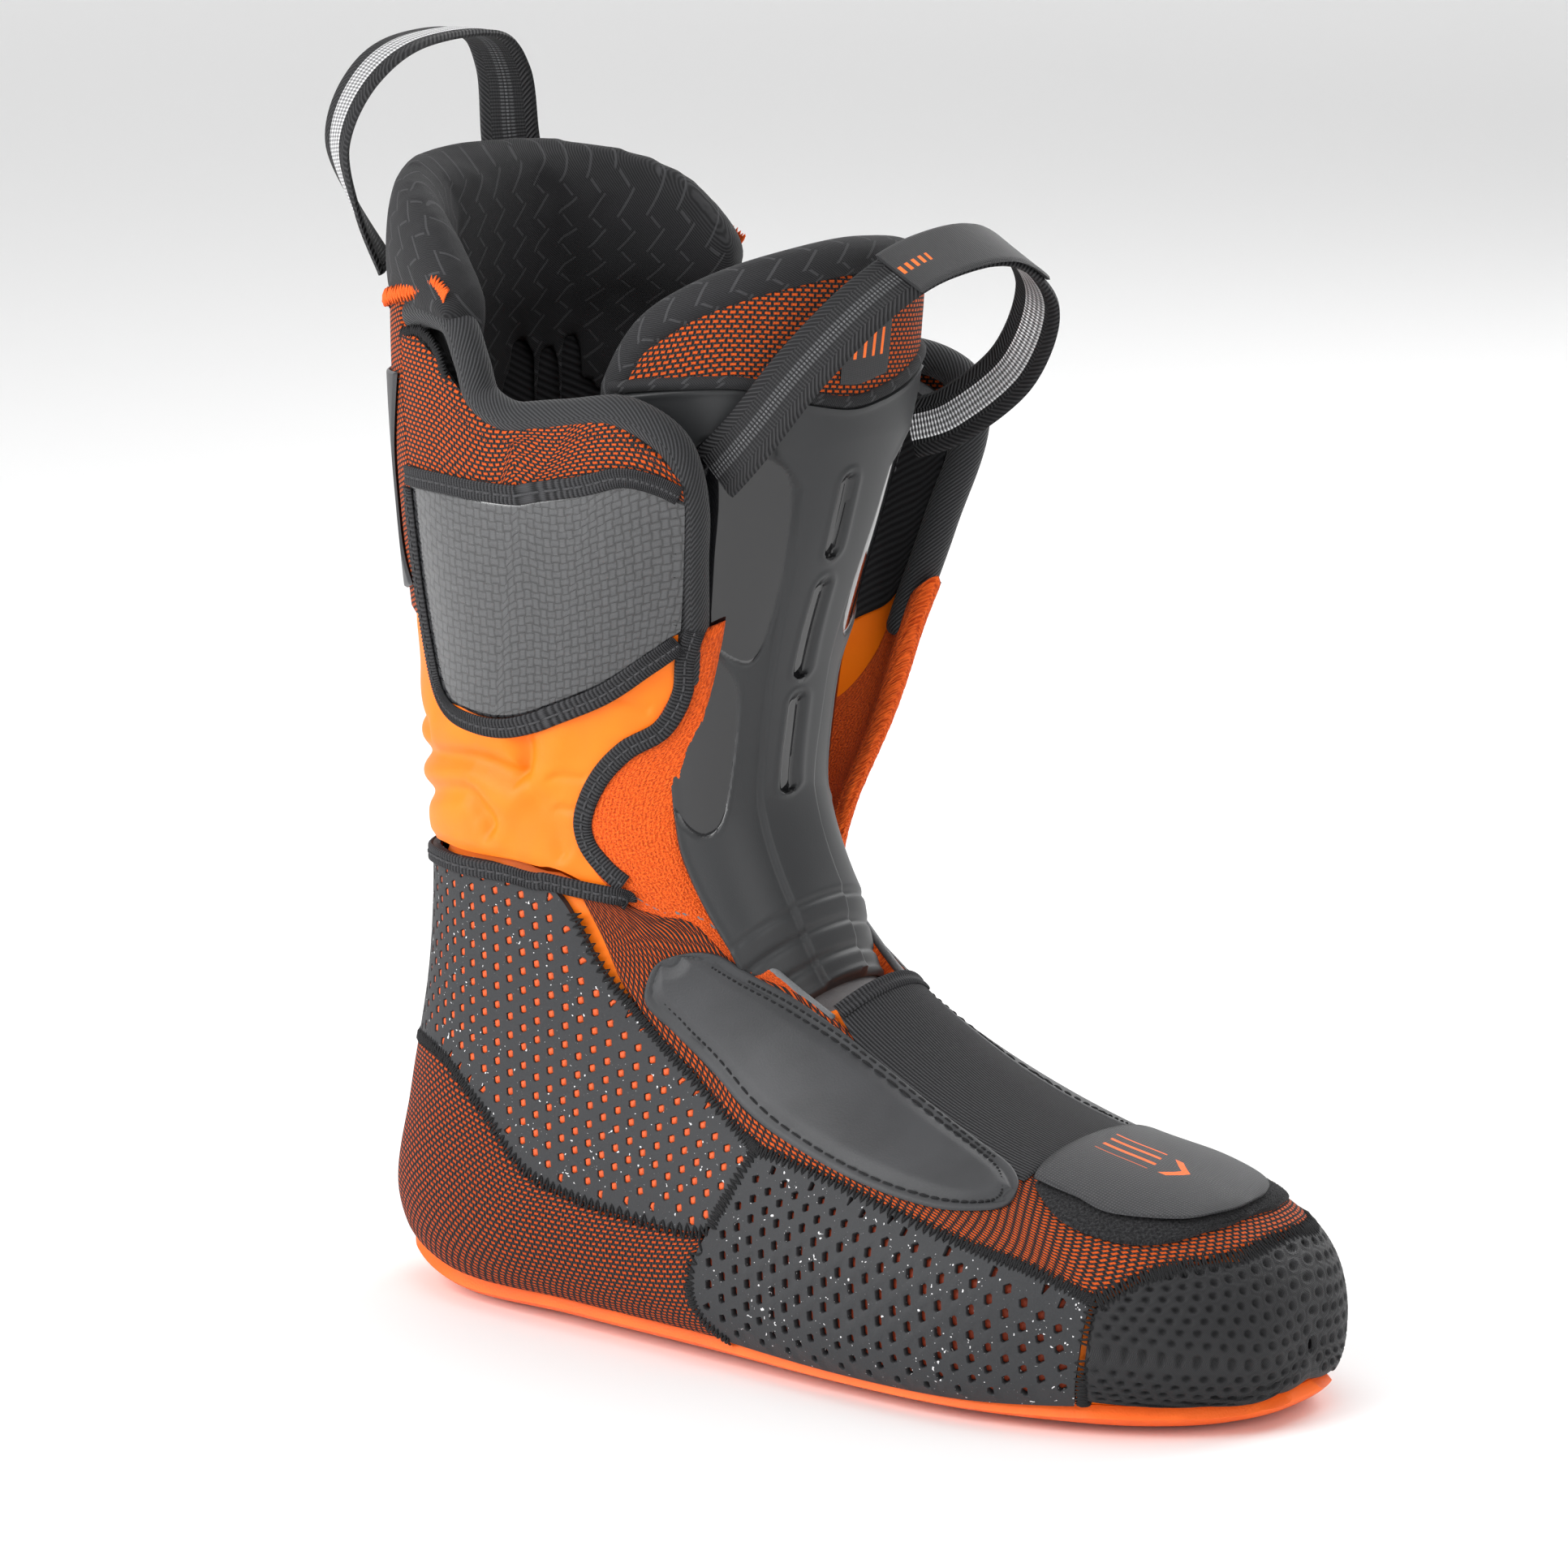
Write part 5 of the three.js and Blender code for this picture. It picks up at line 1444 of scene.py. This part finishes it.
def fold_relief(place, plane, inside):
    """Rounded bulges between sunk fold lines."""
    angle = (np.abs((place[:, 0] + 180) % 360 - 180)) * 0.9
    level = place[:, 1] * 27
    total = 1.8 * np.exp(-((place[:, 1] - 13.5) / 0.75) ** 2) * step(80, 125, angle / 0.9)
    for line, depth, width in FOLDS:
        points = line_at(line, np.linspace(0, 1, 16)) * (0.9, 27)
        there_and_back = np.concatenate([points, points[::-1]])
        gap = np.abs(outline_reach(np.stack([angle, level], 1), there_and_back)[0])
        total = total - depth * np.exp(-(gap / width) ** 2) + 0.25 * depth * np.exp(
            -((gap - 2.6 * width) / (1.6 * width)) ** 2)
    return total * step(0, 4, inside)


foam_low = [[58, 10.8], [68, 11.05], [87, 11.85], [103, 12.35], [130, 12.8], [155, 12.98], [181, 13.05]]
foam_high = [[54, 13.75], [66, 13.6], [80, 13.5], [97, 13.55], [112, 13.8], [128, 14.55], [155, 14.62],
             [181, 14.62]]
for side, place in SIDES:
    mesh = panel_mesh(place(foam_low), place(foam_high), (200, 90), (-6, 1.2), edge=0.6, relief=fold_relief)
    nodes = ("ankle_bellows", "ankle_foam") if side == "lateral" else ()
    ankle_piece(f"ankle_moulding_{side}", mesh, orange_foam, side, nodes)

# %% [markdown]
# Terry lines the edges of the throat and rolls over the front edge. A woven tape covers the joint
# between the moulded foam and the terry in an S.

# %% Terry and the S-shaped tape
TERRY_FRONT = [[42.5, 13.5], [43, 13.3], [44, 12.95], [44.5, 12.5], [44, 11.95], [42.5, 11.3],
               [40, 10.65], [37.5, 9.95], [33, 9.1], [28, 8.3], [25, 7.6]]
TERRY_BACK = [[55, 13.5], [58, 13.3], [60, 12.98], [67, 12.72], [78, 12.62], [83.5, 12.25],
              [80, 11.8], [69, 11.1], [57, 10.4], [43, 9.2], [34, 7.6]]


def terry_relief(place, plane, inside):
    rows = np.cos(plane[:, 1] * 5.2 + 2.3 * np.sin(plane[:, 0] * 2.9))
    loops = np.sin(plane[:, 0] * 4.1 + 2.6 * np.sin(plane[:, 1] * 2.3))
    return 0.1 * rows * loops


S_TAPE = [[53, 13.55], [55, 13.3], [55, 12.95], [60, 12.68], [70, 12.66], [77, 12.52], [80.5, 12.25],
          [79, 11.95], [73, 11.55], [66, 11.15]]


def share_at_level(points, surface=on_last):
    share = np.linspace(0, 1, 400)
    point = path_frames(points, share, surface)[0]
    return float(np.interp(-LEVEL / MM, -point[:, 2], share))


for side, place in SIDES:
    mesh = panel_mesh(place(TERRY_FRONT), place(TERRY_BACK), (220, 60), (-6.5, 1.9), edge=3.4,
                      relief=terry_relief)
    ankle_piece(f"terry_edge_{side}", mesh, terry, side,
                (f"terry_wing_{side}", f"throat_lining_{side}"))
    cut = share_at_level(place(S_TAPE))
    upper = tape_mesh(place(S_TAPE), 5.6, (1.2, 2.9), span=(0, cut))
    lower = tape_mesh(place(S_TAPE), 5.6, (1.2, 2.9), span=(cut, 1))
    bend = ("foot", "cuff", FLEX_START, FLEX_END)
    piece(f"s_tape_lower_{side}", lower, edge_tape, bend=bend,
          replaces=(f"edge_tape_{side}",))
    piece(f"s_tape_lower_stitching_{side}", stitches(place(S_TAPE), 2.75, span=(cut, 1)), thread_grey,
          bend=bend)
    bend = ("cuff", f"{side}_flap", OPEN_START, OPEN_END)
    piece(f"s_tape_upper_{side}", upper, edge_tape, bend=bend)
    piece(f"s_tape_upper_stitching_{side}", stitches(place(S_TAPE), 2.75, span=(0, cut)), thread_grey,
          bend=bend)

# %% [markdown]
# ## The cuff
# Behind, the cuff is grey foam between knit and twill, with a spine plate, and a thick rolled
# collar on top. The pad is swelled by a cloth simulation.

# %% Swelling a pad
def evaluated(obj):
    graph = bpy.context.evaluated_depsgraph_get()
    graph.update()
    return bpy.data.meshes.new_from_object(obj.evaluated_get(graph))


def puff(mesh, voxel, pressure, cap, frames=20):
    """Remeshes a closed pad, inflates it as cloth and caps how far each point may move."""
    scene = bpy.context.scene
    obj = bpy.data.objects.new("pad", mesh)
    scene.collection.objects.link(obj)
    remesh = obj.modifiers.new("remesh", "REMESH")
    remesh.mode = "VOXEL"
    remesh.voxel_size = voxel * MM
    even = evaluated(obj)
    obj.modifiers.clear()
    obj.data = even
    rest = read_points(even)
    cloth = obj.modifiers.new("cloth", "CLOTH")
    cloth.settings.use_pressure = True
    cloth.settings.uniform_pressure_force = pressure
    cloth.settings.effector_weights.gravity = 0
    cloth.settings.quality = 5
    for frame in range(1, frames + 1):
        scene.frame_set(frame)
    moved = read_points(evaluated(obj))
    scene.frame_set(1)
    obj.modifiers.clear()
    move = moved - rest
    far = np.linalg.norm(move, axis=1, keepdims=True)
    write_points(even, rest + move * np.minimum(1, cap * MM / np.maximum(far, 1e-9)))
    finer = obj.modifiers.new("finer", "SUBSURF")
    finer.levels = finer.render_levels = 1
    result = evaluated(obj)
    bpy.data.objects.remove(obj)
    print("swelled a pad:", len(result.polygons), "faces, moved up to", round(float(far.max() / MM), 1), "mm")
    return result


def wrap_map(mesh, centre_x, centre_y, radius):
    """A cloth map for a pad round the leg: round it, and up it with the fold at the top."""
    points = read_points(mesh) / MM - TO_FRAME
    x, y, z = points.T
    turn = np.arctan2(y - centre_y, centre_x - x)
    away = np.hypot(x - centre_x, y - centre_y)
    write_map(mesh, np.stack([turn * radius, z - (away - radius)], 1))
    mesh.shade_smooth()


# %% Collar, knit and spine
COLLAR_TOP = np.array([[104, 16.98], [108, 17.2], [116, 17.48], [128, 17.7], [145, 17.86], [160, 17.95],
                       [180, 18.0]])
COLLAR_FOOT = np.array([[104, 16.72], [125, 16.86], [150, 16.82], [180, 16.8]])
# share of the way from foot to top, height over the last, and extra lift
COLLAR_PROFILE = np.array([
    [0.0, 0.8, 0], [0.15, 2.3, 0], [0.45, 3.2, 0], [0.75, 2.8, 0], [0.95, 0.8, 1.0], [1.0, -2.5, 2.2],
    [0.98, -6, 1.6], [0.88, -9.5, 0], [0.6, -12, 0], [0.25, -13, 0], [-0.2, -12.5, 0], [-0.8, -11, 0],
    [-1.5, -9.6, 0], [-2.2, -8.8, 0], [-2.9, -8.4, 0], [-2.9, -7.6, 0], [-1.5, -7.2, 0],
    [-0.4, -6.5, 0], [-0.1, -3, 0], [0.0, 0.2, 0]])


def collar_mesh(columns=150, corners=56):
    angle = np.linspace(-104, -256, columns)
    size = np.abs((angle + 180) % 360 - 180)
    top = np.interp(size, *COLLAR_TOP.T)
    foot = np.interp(size, *COLLAR_FOOT.T)
    share = np.linspace(0, len(COLLAR_PROFILE) - 1, corners, endpoint=False)
    profile = blend_rows(COLLAR_PROFILE, share)
    thin = soft_edge(size - 104, 9)[:, None]
    k = foot[:, None] + (top - foot)[:, None] * np.maximum(profile[:, 0], -2.9)
    below = np.minimum(profile[:, 0], 0) * 0.36
    k = np.where(profile[:, 0] < 0, foot[:, None] + below, k)
    height = np.where(profile[:, 1] < -6, -6 + (profile[:, 1] + 6) * (0.35 + 0.65 * thin),
                      profile[:, 1] * np.ones_like(thin))
    rings = on_last(angle[:, None], k, height)
    rings[..., 2] += profile[:, 2] * thin
    return tube(rings)


collar = puff(collar_mesh(), 3.2, 3.0, 1.8)
wrap_map(collar, 68, 0, 66)
collar_piece = piece("collar_cushion", collar, collar_twill, "cuff",
                     ("collar_pad", "cuff_rear_lining"))

# %% Rear knit, lining, spine plate and seams
BACK = 127.3
line_back = lambda k: around([[BACK, k], [150, k], [180, k]])
piece("rear_foam", panel_mesh(line_back(13.9), line_back(16.9), (60, 40), (-6, 0.2), edge=0.5), grey_foam,
      "cuff", ("cuff_rear_foam",))
piece("rear_lining", panel_mesh(line_back(13.6), line_back(16.4), (60, 40), (-7.4, -6), edge=0.4),
      lining_knit, "cuff")
piece("rear_cloth", panel_mesh(line_back(14.6), line_back(16.95), (90, 40), (0.2, 2.3), edge=0.6), knit,
      "cuff", ("rear_knit",))
PLATE_EDGE = [[129, 16.3], [134, 15.95], [143, 15.5], [142, 15.15], [132, 14.78]]
plate_far = [[angle - 360, k] for angle, k in PLATE_EDGE]
piece("spine_shell", panel_mesh(mirrored(PLATE_EDGE), plate_far, (70, 90), (2.3, 3.7), edge=0.9),
      spine_plastic, "cuff", ("spine_plate",))
for side, place in SIDES:
    end_seam = place([[143, 16.86], [130, 16.93], [118, 17.0], [110, 17.07], [106, 16.97]])
    piece(f"collar_end_seam_{side}", zigzag(end_seam, 2.2, 1.6, 0.4, 4.0, seed=21), thread_orange,
          "cuff")
collar_line = around([[140, 16.86], [180, 16.84]])
piece("collar_seam", zigzag(collar_line, 2.4, 1.3, 0.34, 2.6, seed=23), thread_black, "cuff")

# %% [markdown]
# ## The flaps
# Each flap is foam lined with black knit. A woven composite plate stiffens it, and a thick soft
# binding runs round its free edge.

# %% Flaps
FLAP_FOOT = [[56, 13.6], [60, 13.45], [68, 13.42], [79, 13.35], [97, 13.45], [113, 13.75], [127, 14.15]]
FLAP_TOP = [[60, 14.95], [66, 15.15], [72, 15.4], [81, 15.65], [95, 15.75], [111, 16.2], [127, 16.62]]
PLATE_FOOT = [[57, 13.6], [66, 13.5], [79, 13.4], [97, 13.5], [112, 13.72], [123, 13.95], [127, 14.4]]
PLATE_TOP = [[58, 14.8], [67, 15.0], [76, 15.16], [86, 15.17], [99, 15.3], [112, 15.42], [127, 15.5]]
BAND_TOP = [[59, 15.0], [66, 15.32], [72, 15.52], [81, 15.78], [95, 15.85], [111, 16.42], [127, 16.7]]
BINDING = [[128, 16.76], [118, 16.82], [108, 16.74], [103, 16.4], [100, 16.08], [94, 15.9], [88, 15.83],
           [79, 15.8], [70, 15.6], [63, 15.33], [58.5, 14.95], [56.5, 14.6], [56, 14.15], [54, 13.5],
           [53, 12.95]]
BINDING_SEAM = [[128, 16.6], [118, 16.65], [111, 16.5], [107, 16.2], [102, 15.9], [95, 15.72], [88, 15.65],
                [79, 15.61], [71, 15.42], [65.5, 15.18], [62, 14.85], [61, 14.5], [61, 14.15], [59, 13.6]]
PLATE_RIM = [[57.5, 13.5], [66, 13.42], [79, 13.33], [97, 13.43], [112, 13.66], [121, 13.86],
             [125.5, 14.1], [127, 14.5], [127, 15.0], [127, 15.45]]

for side, place in SIDES:
    body = f"{side}_flap"
    piece(f"flap_core_{side}", panel_mesh(place(FLAP_FOOT), place(FLAP_TOP), (50, 36), (-6, 0.6), edge=0.6),
          grey_foam, body, (f"flap_foam_{side}",))
    piece(f"flap_inside_{side}", panel_mesh(place(FLAP_FOOT), place(FLAP_TOP), (50, 36), (-7.4, -6),
                                            edge=0.4), lining_knit, body,
          (f"flap_lining_{side}",))
    piece(f"plate_{side}", panel_mesh(place(PLATE_FOOT), place(PLATE_TOP), (80, 50), (1.0, 2.7), edge=0.5),
          composite, body, (f"flap_plate_{side}",))
    piece(f"band_{side}", panel_mesh(place(PLATE_TOP), place(BAND_TOP), (80, 16), (0.5, 2.6), edge=0.8),
          knit, body, (f"flap_knit_{side}",))
    piece(f"plate_rim_tape_{side}", tape_mesh(place(PLATE_RIM), 5.6, (2.5, 3.8)), edge_tape,
          body, (f"flap_tape_lower_{side}",))
    piece(f"plate_rim_stitching_{side}", stitches(place(PLATE_RIM), 3.65), thread_grey, body)
    top_line = place([[60, 14.9], [67, 15.06], [76, 15.2], [86, 15.21], [99, 15.34], [112, 15.46],
                      [127, 15.54]])
    piece(f"plate_top_tape_{side}", tape_mesh(top_line, 5.6, (2.5, 3.8)), edge_tape, body,
          (f"flap_tape_upper_{side}",))
    piece(f"plate_top_stitching_{side}", stitches(top_line, 3.65), thread_grey, body)
    binding = piece(f"edge_binding_{side}", rod_mesh(place(BINDING), 4.8, -2.2, pitch=1.2, corners=20),
                    binding_knit, body, (f"flap_binding_{side}",))
    piece(f"binding_seam_{side}", zigzag(place(BINDING_SEAM), 1.5, 1.1, 0.34, 2.3, seed=31), thread_black,
          body)

# %% [markdown]
# ## The tongue
# The tongue's shell is moulded: a raised rib with three slots, and glossy sunk windows beside it.
# It is given a bend from the foot to the tongue, which is not applied, so it stays where it was built.

# %% Foam, lining and moulded shell
TONGUE_START = Vector((0.0053, 0, 0.114))
TONGUE_END = Vector((-0.0015, 0, 0.133))
TONGUE_BEND = ("foot", "tongue", TONGUE_START, TONGUE_END)
pad_edge = [[66, 6.95], [82, 8.4], [84, 9.6], [86, 11], [87, 12.6], [88, 13.8], [88, 15], [85, 15.9],
            [66, 16.55], [40, 16.95]]
piece("tongue_foam", panel_mesh(mirrored(pad_edge), pad_edge, (110, 60), (-6, 0.3), on_tongue, 1.0),
      grey_foam, replaces=("tongue_pad", "tongue_base"), bend=TONGUE_BEND)
piece("tongue_lining", panel_mesh(mirrored(pad_edge), pad_edge, (110, 60), (-7.2, -6), on_tongue, 0.5),
      lining_knit, bend=TONGUE_BEND)

PIPING = [[-88, 16.05], [-69, 16.02], [-49, 15.93], [-30, 15.66], [-10, 15.47], [8, 15.6], [32, 15.9],
          [52, 16.0], [70, 16.03], [88, 16.05]]
SHELL_TOP = [[-89, 15.98], [-69, 15.97], [-49, 15.88], [-30, 15.61], [-10, 15.42], [8, 15.55], [32, 15.85],
             [52, 15.95], [70, 15.98], [89, 15.98]]
SHELL_FOOT = [[-82, 8.35], [-64, 8.35], [-46, 8.35], [-27, 8.35], [-8, 8.35], [10, 8.35], [28, 8.35],
              [46, 8.35], [64, 8.35], [82, 8.35]]
RIB_MIDDLE = -8
RIB_HALF = np.array([[8.4, 17], [11, 18], [12.84, 18], [14.61, 21], [15.0, 31], [15.5, 36]])
SLOTS = ((13.78, 14.62), (12.5, 13.55), (11.0, 12.3))
WINDOWS = ([[-64, 15.36], [-42, 15.03], [-31, 14.52], [-33, 13.08], [-49, 13.02], [-79, 13.86],
            [-76, 14.64]],
           [[-81, 13.62], [-53, 13.0], [-43, 12.39], [-50, 11.1], [-70, 11.04], [-86, 11.91]])
GROOVES = (9.4, 9.05, 8.7)


def tongue_scale(k):
    half, reach = (np.interp(k, TONGUE[:, 0], TONGUE[:, i]) for i in (1, 2))
    return (half + reach) / 2 * math.pi / 180


def window_depth(place):
    """How far each place is inside a window, in mm."""
    best = np.full(len(place), -99.0)
    scale = (0.7, 25)
    for window in WINDOWS:
        for turn in (False, True):
            corners = np.array([[2 * RIB_MIDDLE - a if turn else a, k] for a, k in window])
            smooth = blend_rows(np.concatenate([corners[-1:], corners, corners[:2]]),
                                np.linspace(1, len(corners) + 1, 60, endpoint=False))
            best = np.maximum(best, outline_reach(place * scale, smooth * scale)[0])
    return best


def tongue_relief(place, plane, inside):
    a, k = place.T
    x = (a - RIB_MIDDLE) * tongue_scale(k)
    half = np.interp(k, *RIB_HALF.T) * tongue_scale(k)
    total = 1.7 * (1 - step(-0.9, 0.9, np.abs(x) - half))
    for low, high in SLOTS:
        middle, reach = (low + high) / 2, (high - low) / 2 * 24 - 2.2
        gap = np.hypot(x, np.maximum(np.abs(k - middle) * 24 - reach, 0)) - 2.2
        total = total - 2.3 * (1 - step(-0.6, 0.5, gap)) + 0.5 * np.exp(-((gap - 1.3) / 0.7) ** 2)
    window = window_depth(place)
    total = total - 0.8 * step(-0.7, 0.7, window) + 0.25 * np.exp(-((window + 1.2) / 0.8) ** 2)
    for level in GROOVES:
        total = total - 0.9 * np.exp(-((k - level) * 24 / 1.3) ** 2)
    rim = np.exp(-((inside - 1.4) / 1.0) ** 2)
    return (total + 0.5 * rim) * step(0, 1.5, inside)


shell = panel_mesh(SHELL_FOOT, SHELL_TOP, (170, 240), (0.4, 2.2), on_tongue, 0.8, tongue_relief)
shell_points = read_points(shell) / MM - TO_FRAME


def shell_gloss_and_slot_shade(mesh):
    """1 in the glossy windows, and in the slots, whose near black is painted shade; found again from the flat
    map of the shell.
    """
    samples_u, samples_v = np.meshgrid(np.linspace(0, 1, 171), np.linspace(0, 1, 241), indexing="ij")
    first, second = line_at(SHELL_FOOT, samples_u.ravel()), line_at(SHELL_TOP, samples_u.ravel())
    place = first + (second - first) * samples_v.ravel()[:, None]
    gloss_and_slot_shade = step(-0.2, 0.6, window_depth(place))
    # The slots join the mask for painted shade: their near black stands for the shade in them.
    for low, high in SLOTS:
        away = np.abs(place[:, 1] - (low + high) / 2) * 24 - (high - low) / 2 * 24 + 2.2
        across = (place[:, 0] - RIB_MIDDLE) * tongue_scale(place[:, 1])
        gloss_and_slot_shade = np.maximum(gloss_and_slot_shade, 1 - step(1.6, 2.2, np.hypot(across, np.maximum(away, 0))))
    tree = KDTree(len(place))
    for number, point in enumerate(on_tongue(place[:, 0], place[:, 1], 1.8)):
        tree.insert(point, number)
    tree.balance()
    values = np.array([gloss_and_slot_shade[tree.find(point)[1]] for point in shell_points])
    layer = mesh.attributes.new("gloss_and_slot_shade", "FLOAT", "POINT")
    layer.data.foreach_set("value", values.astype(np.float32))


shell_gloss_and_slot_shade(shell)
piece("tongue_moulding", shell, tongue_plastic, replaces=("tongue_shell",),
      bend=TONGUE_BEND)

# %% Knit, piping, rim, label and tabs of the tongue
KNIT_TOP = [[-87, 16.2], [-76, 16.45], [-62, 16.75], [-40, 16.98], [-10, 17.08], [15, 16.98], [42, 16.75],
            [62, 16.5], [76, 16.3], [87, 16.15]]
piece("tongue_cloth", panel_mesh(PIPING, KNIT_TOP, (90, 30), (0.3, 2.3), on_tongue, 0.6), knit,
      "tongue", ("tongue_knit",))
piece("tongue_cord_edge", rod_mesh(PIPING, 1.7, 2.4, on_tongue), collar_twill, "tongue",
      ("tongue_piping",))
RIM = [[-88, 15.1], [-88, 15.6], [-86, 16.05], [-78, 16.55], [-62, 16.88], [-40, 17.1], [-10, 17.2],
       [20, 17.05], [45, 16.8], [66, 16.5], [80, 16.15], [86, 15.7], [86, 15.1]]
rim = piece("tongue_rim_cushion", rod_mesh(RIM, 5.6, -2.4, on_tongue, corners=22, pitch=1.2), collar_twill,
            "tongue", ("tongue_rim",))
LABEL = [[[-16, 15.72], [-8, 15.68], [2, 15.76]], [[-15, 16.62], [-8, 16.66], [2, 16.6]]]
piece("name_label", panel_mesh(*LABEL, (20, 30), (2.4, 3.2), on_tongue, 0.4), tongue_label_finish,
      "tongue", ("tongue_label",))
for side, far in (("lateral", False), ("medial", True)):
    corners = [[[-72, 15.27], [-62, 15.09]], [[-77, 14.82], [-69, 14.58]]]
    if far:
        corners = [[[2 * RIB_MIDDLE - a, k] for a, k in line] for line in corners]
    tab = panel_mesh(corners[0], corners[1], (14, 16), (2.2, 3.6), on_tongue, 0.6)
    piece(f"tongue_tab_{side}", tab, webbing, "tongue", (f"tongue_loop_tab_{side}",))
    cross = [[corners[0][0], corners[1][1]], [corners[0][1], corners[1][0]]]
    for number, line in enumerate(cross):
        middle = [(line[0][i] + line[1][i]) / 2 for i in (0, 1)]
        piece(f"tongue_tab_cross_{side}_{number}", stitches([line[0], middle, line[1]], 3.6, on_tongue),
              thread_grey, "tongue")

# %% [markdown]
# ## Pull loops
# Each loop is a flat strap along a curve in space, with its width turned as it goes.

# %% Loops
def strap_mesh(route, ways, width, faces, cells=(160, 18), span=(0, 1), sag=0.0):
    """A strap: route and ways are points and width directions, in mm."""
    columns, rows = cells
    mesh = block(columns, rows)
    u, v, w = read_points(mesh).T
    share = span[0] + (span[1] - span[0]) * np.arange(columns + 1) / columns
    rows_of = len(route) - 1
    centre = blend_rows(np.array(route, float), share * rows_of)
    along = unit(np.gradient(centre, axis=0))
    across = blend_rows(np.array(ways, float), share * (len(ways) - 1))
    across = unit(across - along * np.sum(across * along, 1, keepdims=True))
    out = np.cross(along, across)
    length = np.concatenate([[0], np.cumsum(np.linalg.norm(np.diff(centre, axis=0), axis=1))])
    i = np.rint(u * columns).astype(int)
    side = (v - 0.5) * width
    low, high = faces
    half = (high - low) / 2 * soft_edge(width / 2 - np.abs(side), 0.8)
    height = (low + high) / 2 + np.where(w > 0.5, half, -half) - sag * (side / width * 2) ** 2
    write_points(mesh, to_frame(centre[i] + across[i] * side[:, None] + out[i] * height[:, None]))
    write_map(mesh, np.stack([length[i], side], 1))
    close_mesh(mesh)
    return mesh


def moved(anchor, *steps):
    return [tuple(anchor + np.array(each)) for each in steps]


lift = 7.3
start = on_tongue(-60, 15, lift)
finish_point = on_tongue(57, 15, lift)
TONGUE_ROUTE = [tuple(start), *moved(start, (11, 0, 11), (24, 7, 30), (35, 22, 47), (40, 42, 55)),
                *moved(finish_point, (43, -22, 55), (43, -3, 41), (31, 4, 20), (13, 2, 5)),
                tuple(finish_point)]
WIDE = (0.86, 0, -0.5)
piece("tongue_strap", strap_mesh(TONGUE_ROUTE, [WIDE, WIDE, WIDE], 16.5, (-0.9, 0.9)), webbing,
      "tongue_loop", ("tongue_loop_webbing",))
piece("tongue_strap_sleeve", strap_mesh(TONGUE_ROUTE, [WIDE, WIDE, WIDE], 17.5, (-2.2, -1.0), (60, 18),
                                        (0.38, 0.62)), sleeve_label_finish, "tongue_loop",
      ("tongue_loop_sleeve",))
piece("tongue_strap_stripe", strap_mesh(TONGUE_ROUTE, [WIDE, WIDE, WIDE], 7, (0.8, 1.2), (160, 8)),
      reflective, "tongue_loop")

lift = 5.2
start = on_last(-157, 17.05, lift)
finish_point = on_last(157, 17.05, lift)
REAR_ROUTE = [tuple(start), *moved(start, (-6, -5, 16), (-11, -7, 34), (-9, 0, 50), (-4, 14, 60)),
              *moved(finish_point, (-4, -14, 60), (-6, 0, 49), (-6, 3, 30), (-3, 2, 13)),
              tuple(finish_point)]
REAR_WAYS = [(0.4, -0.9, 0), (0.9, -0.45, 0), (1, 0, 0), (0.9, 0.45, 0), (0.4, 0.9, 0)]
piece("rear_strap", strap_mesh(REAR_ROUTE, REAR_WAYS, 16.5, (-0.9, 0.9)), webbing, "rear_loop",
      ("rear_loop_webbing",))
piece("rear_strap_stripe", strap_mesh(REAR_ROUTE, REAR_WAYS, 7, (-1.2, -0.8), (160, 8)), reflective,
      "rear_loop")

# %% [markdown]
# ## The floor
# The boot stands on a plain pale floor.

# %% Floor and backdrop
def stage_sheet(name, size, colour, glow):
    """A flat square that isn't part of the boot."""
    bm = bmesh.new()
    bmesh.ops.create_grid(bm, x_segments=1, y_segments=1, size=size)
    mesh = bpy.data.meshes.new(name)
    bm.to_mesh(mesh)
    bm.free()
    sheet = bpy.data.objects.new(name, mesh)
    bpy.context.scene.collection.objects.link(sheet)
    paint = bpy.data.materials.new(name)
    paint.use_nodes = True
    shader = paint.node_tree.nodes["Principled BSDF"]
    shader.inputs["Base Color"].default_value = colour
    shader.inputs["Roughness"].default_value = 0.8
    shader.inputs["Emission Color"].default_value = (1, 1, 1, 1)
    shader.inputs["Emission Strength"].default_value = glow
    mesh.materials.append(paint)
    return sheet


stage_sheet("floor", 5, (0.9, 0.9, 0.9, 1), 0.0)
backdrop = stage_sheet("backdrop", 5, (0.8, 0.8, 0.8, 1), 0.75)
backdrop.location = LOOK_AT - Vector((view_from.x, view_from.y, 0)) * 4.5
backdrop.rotation_euler = Vector((view_from.x, view_from.y, 0)).to_track_quat("Z", "Y").to_euler()
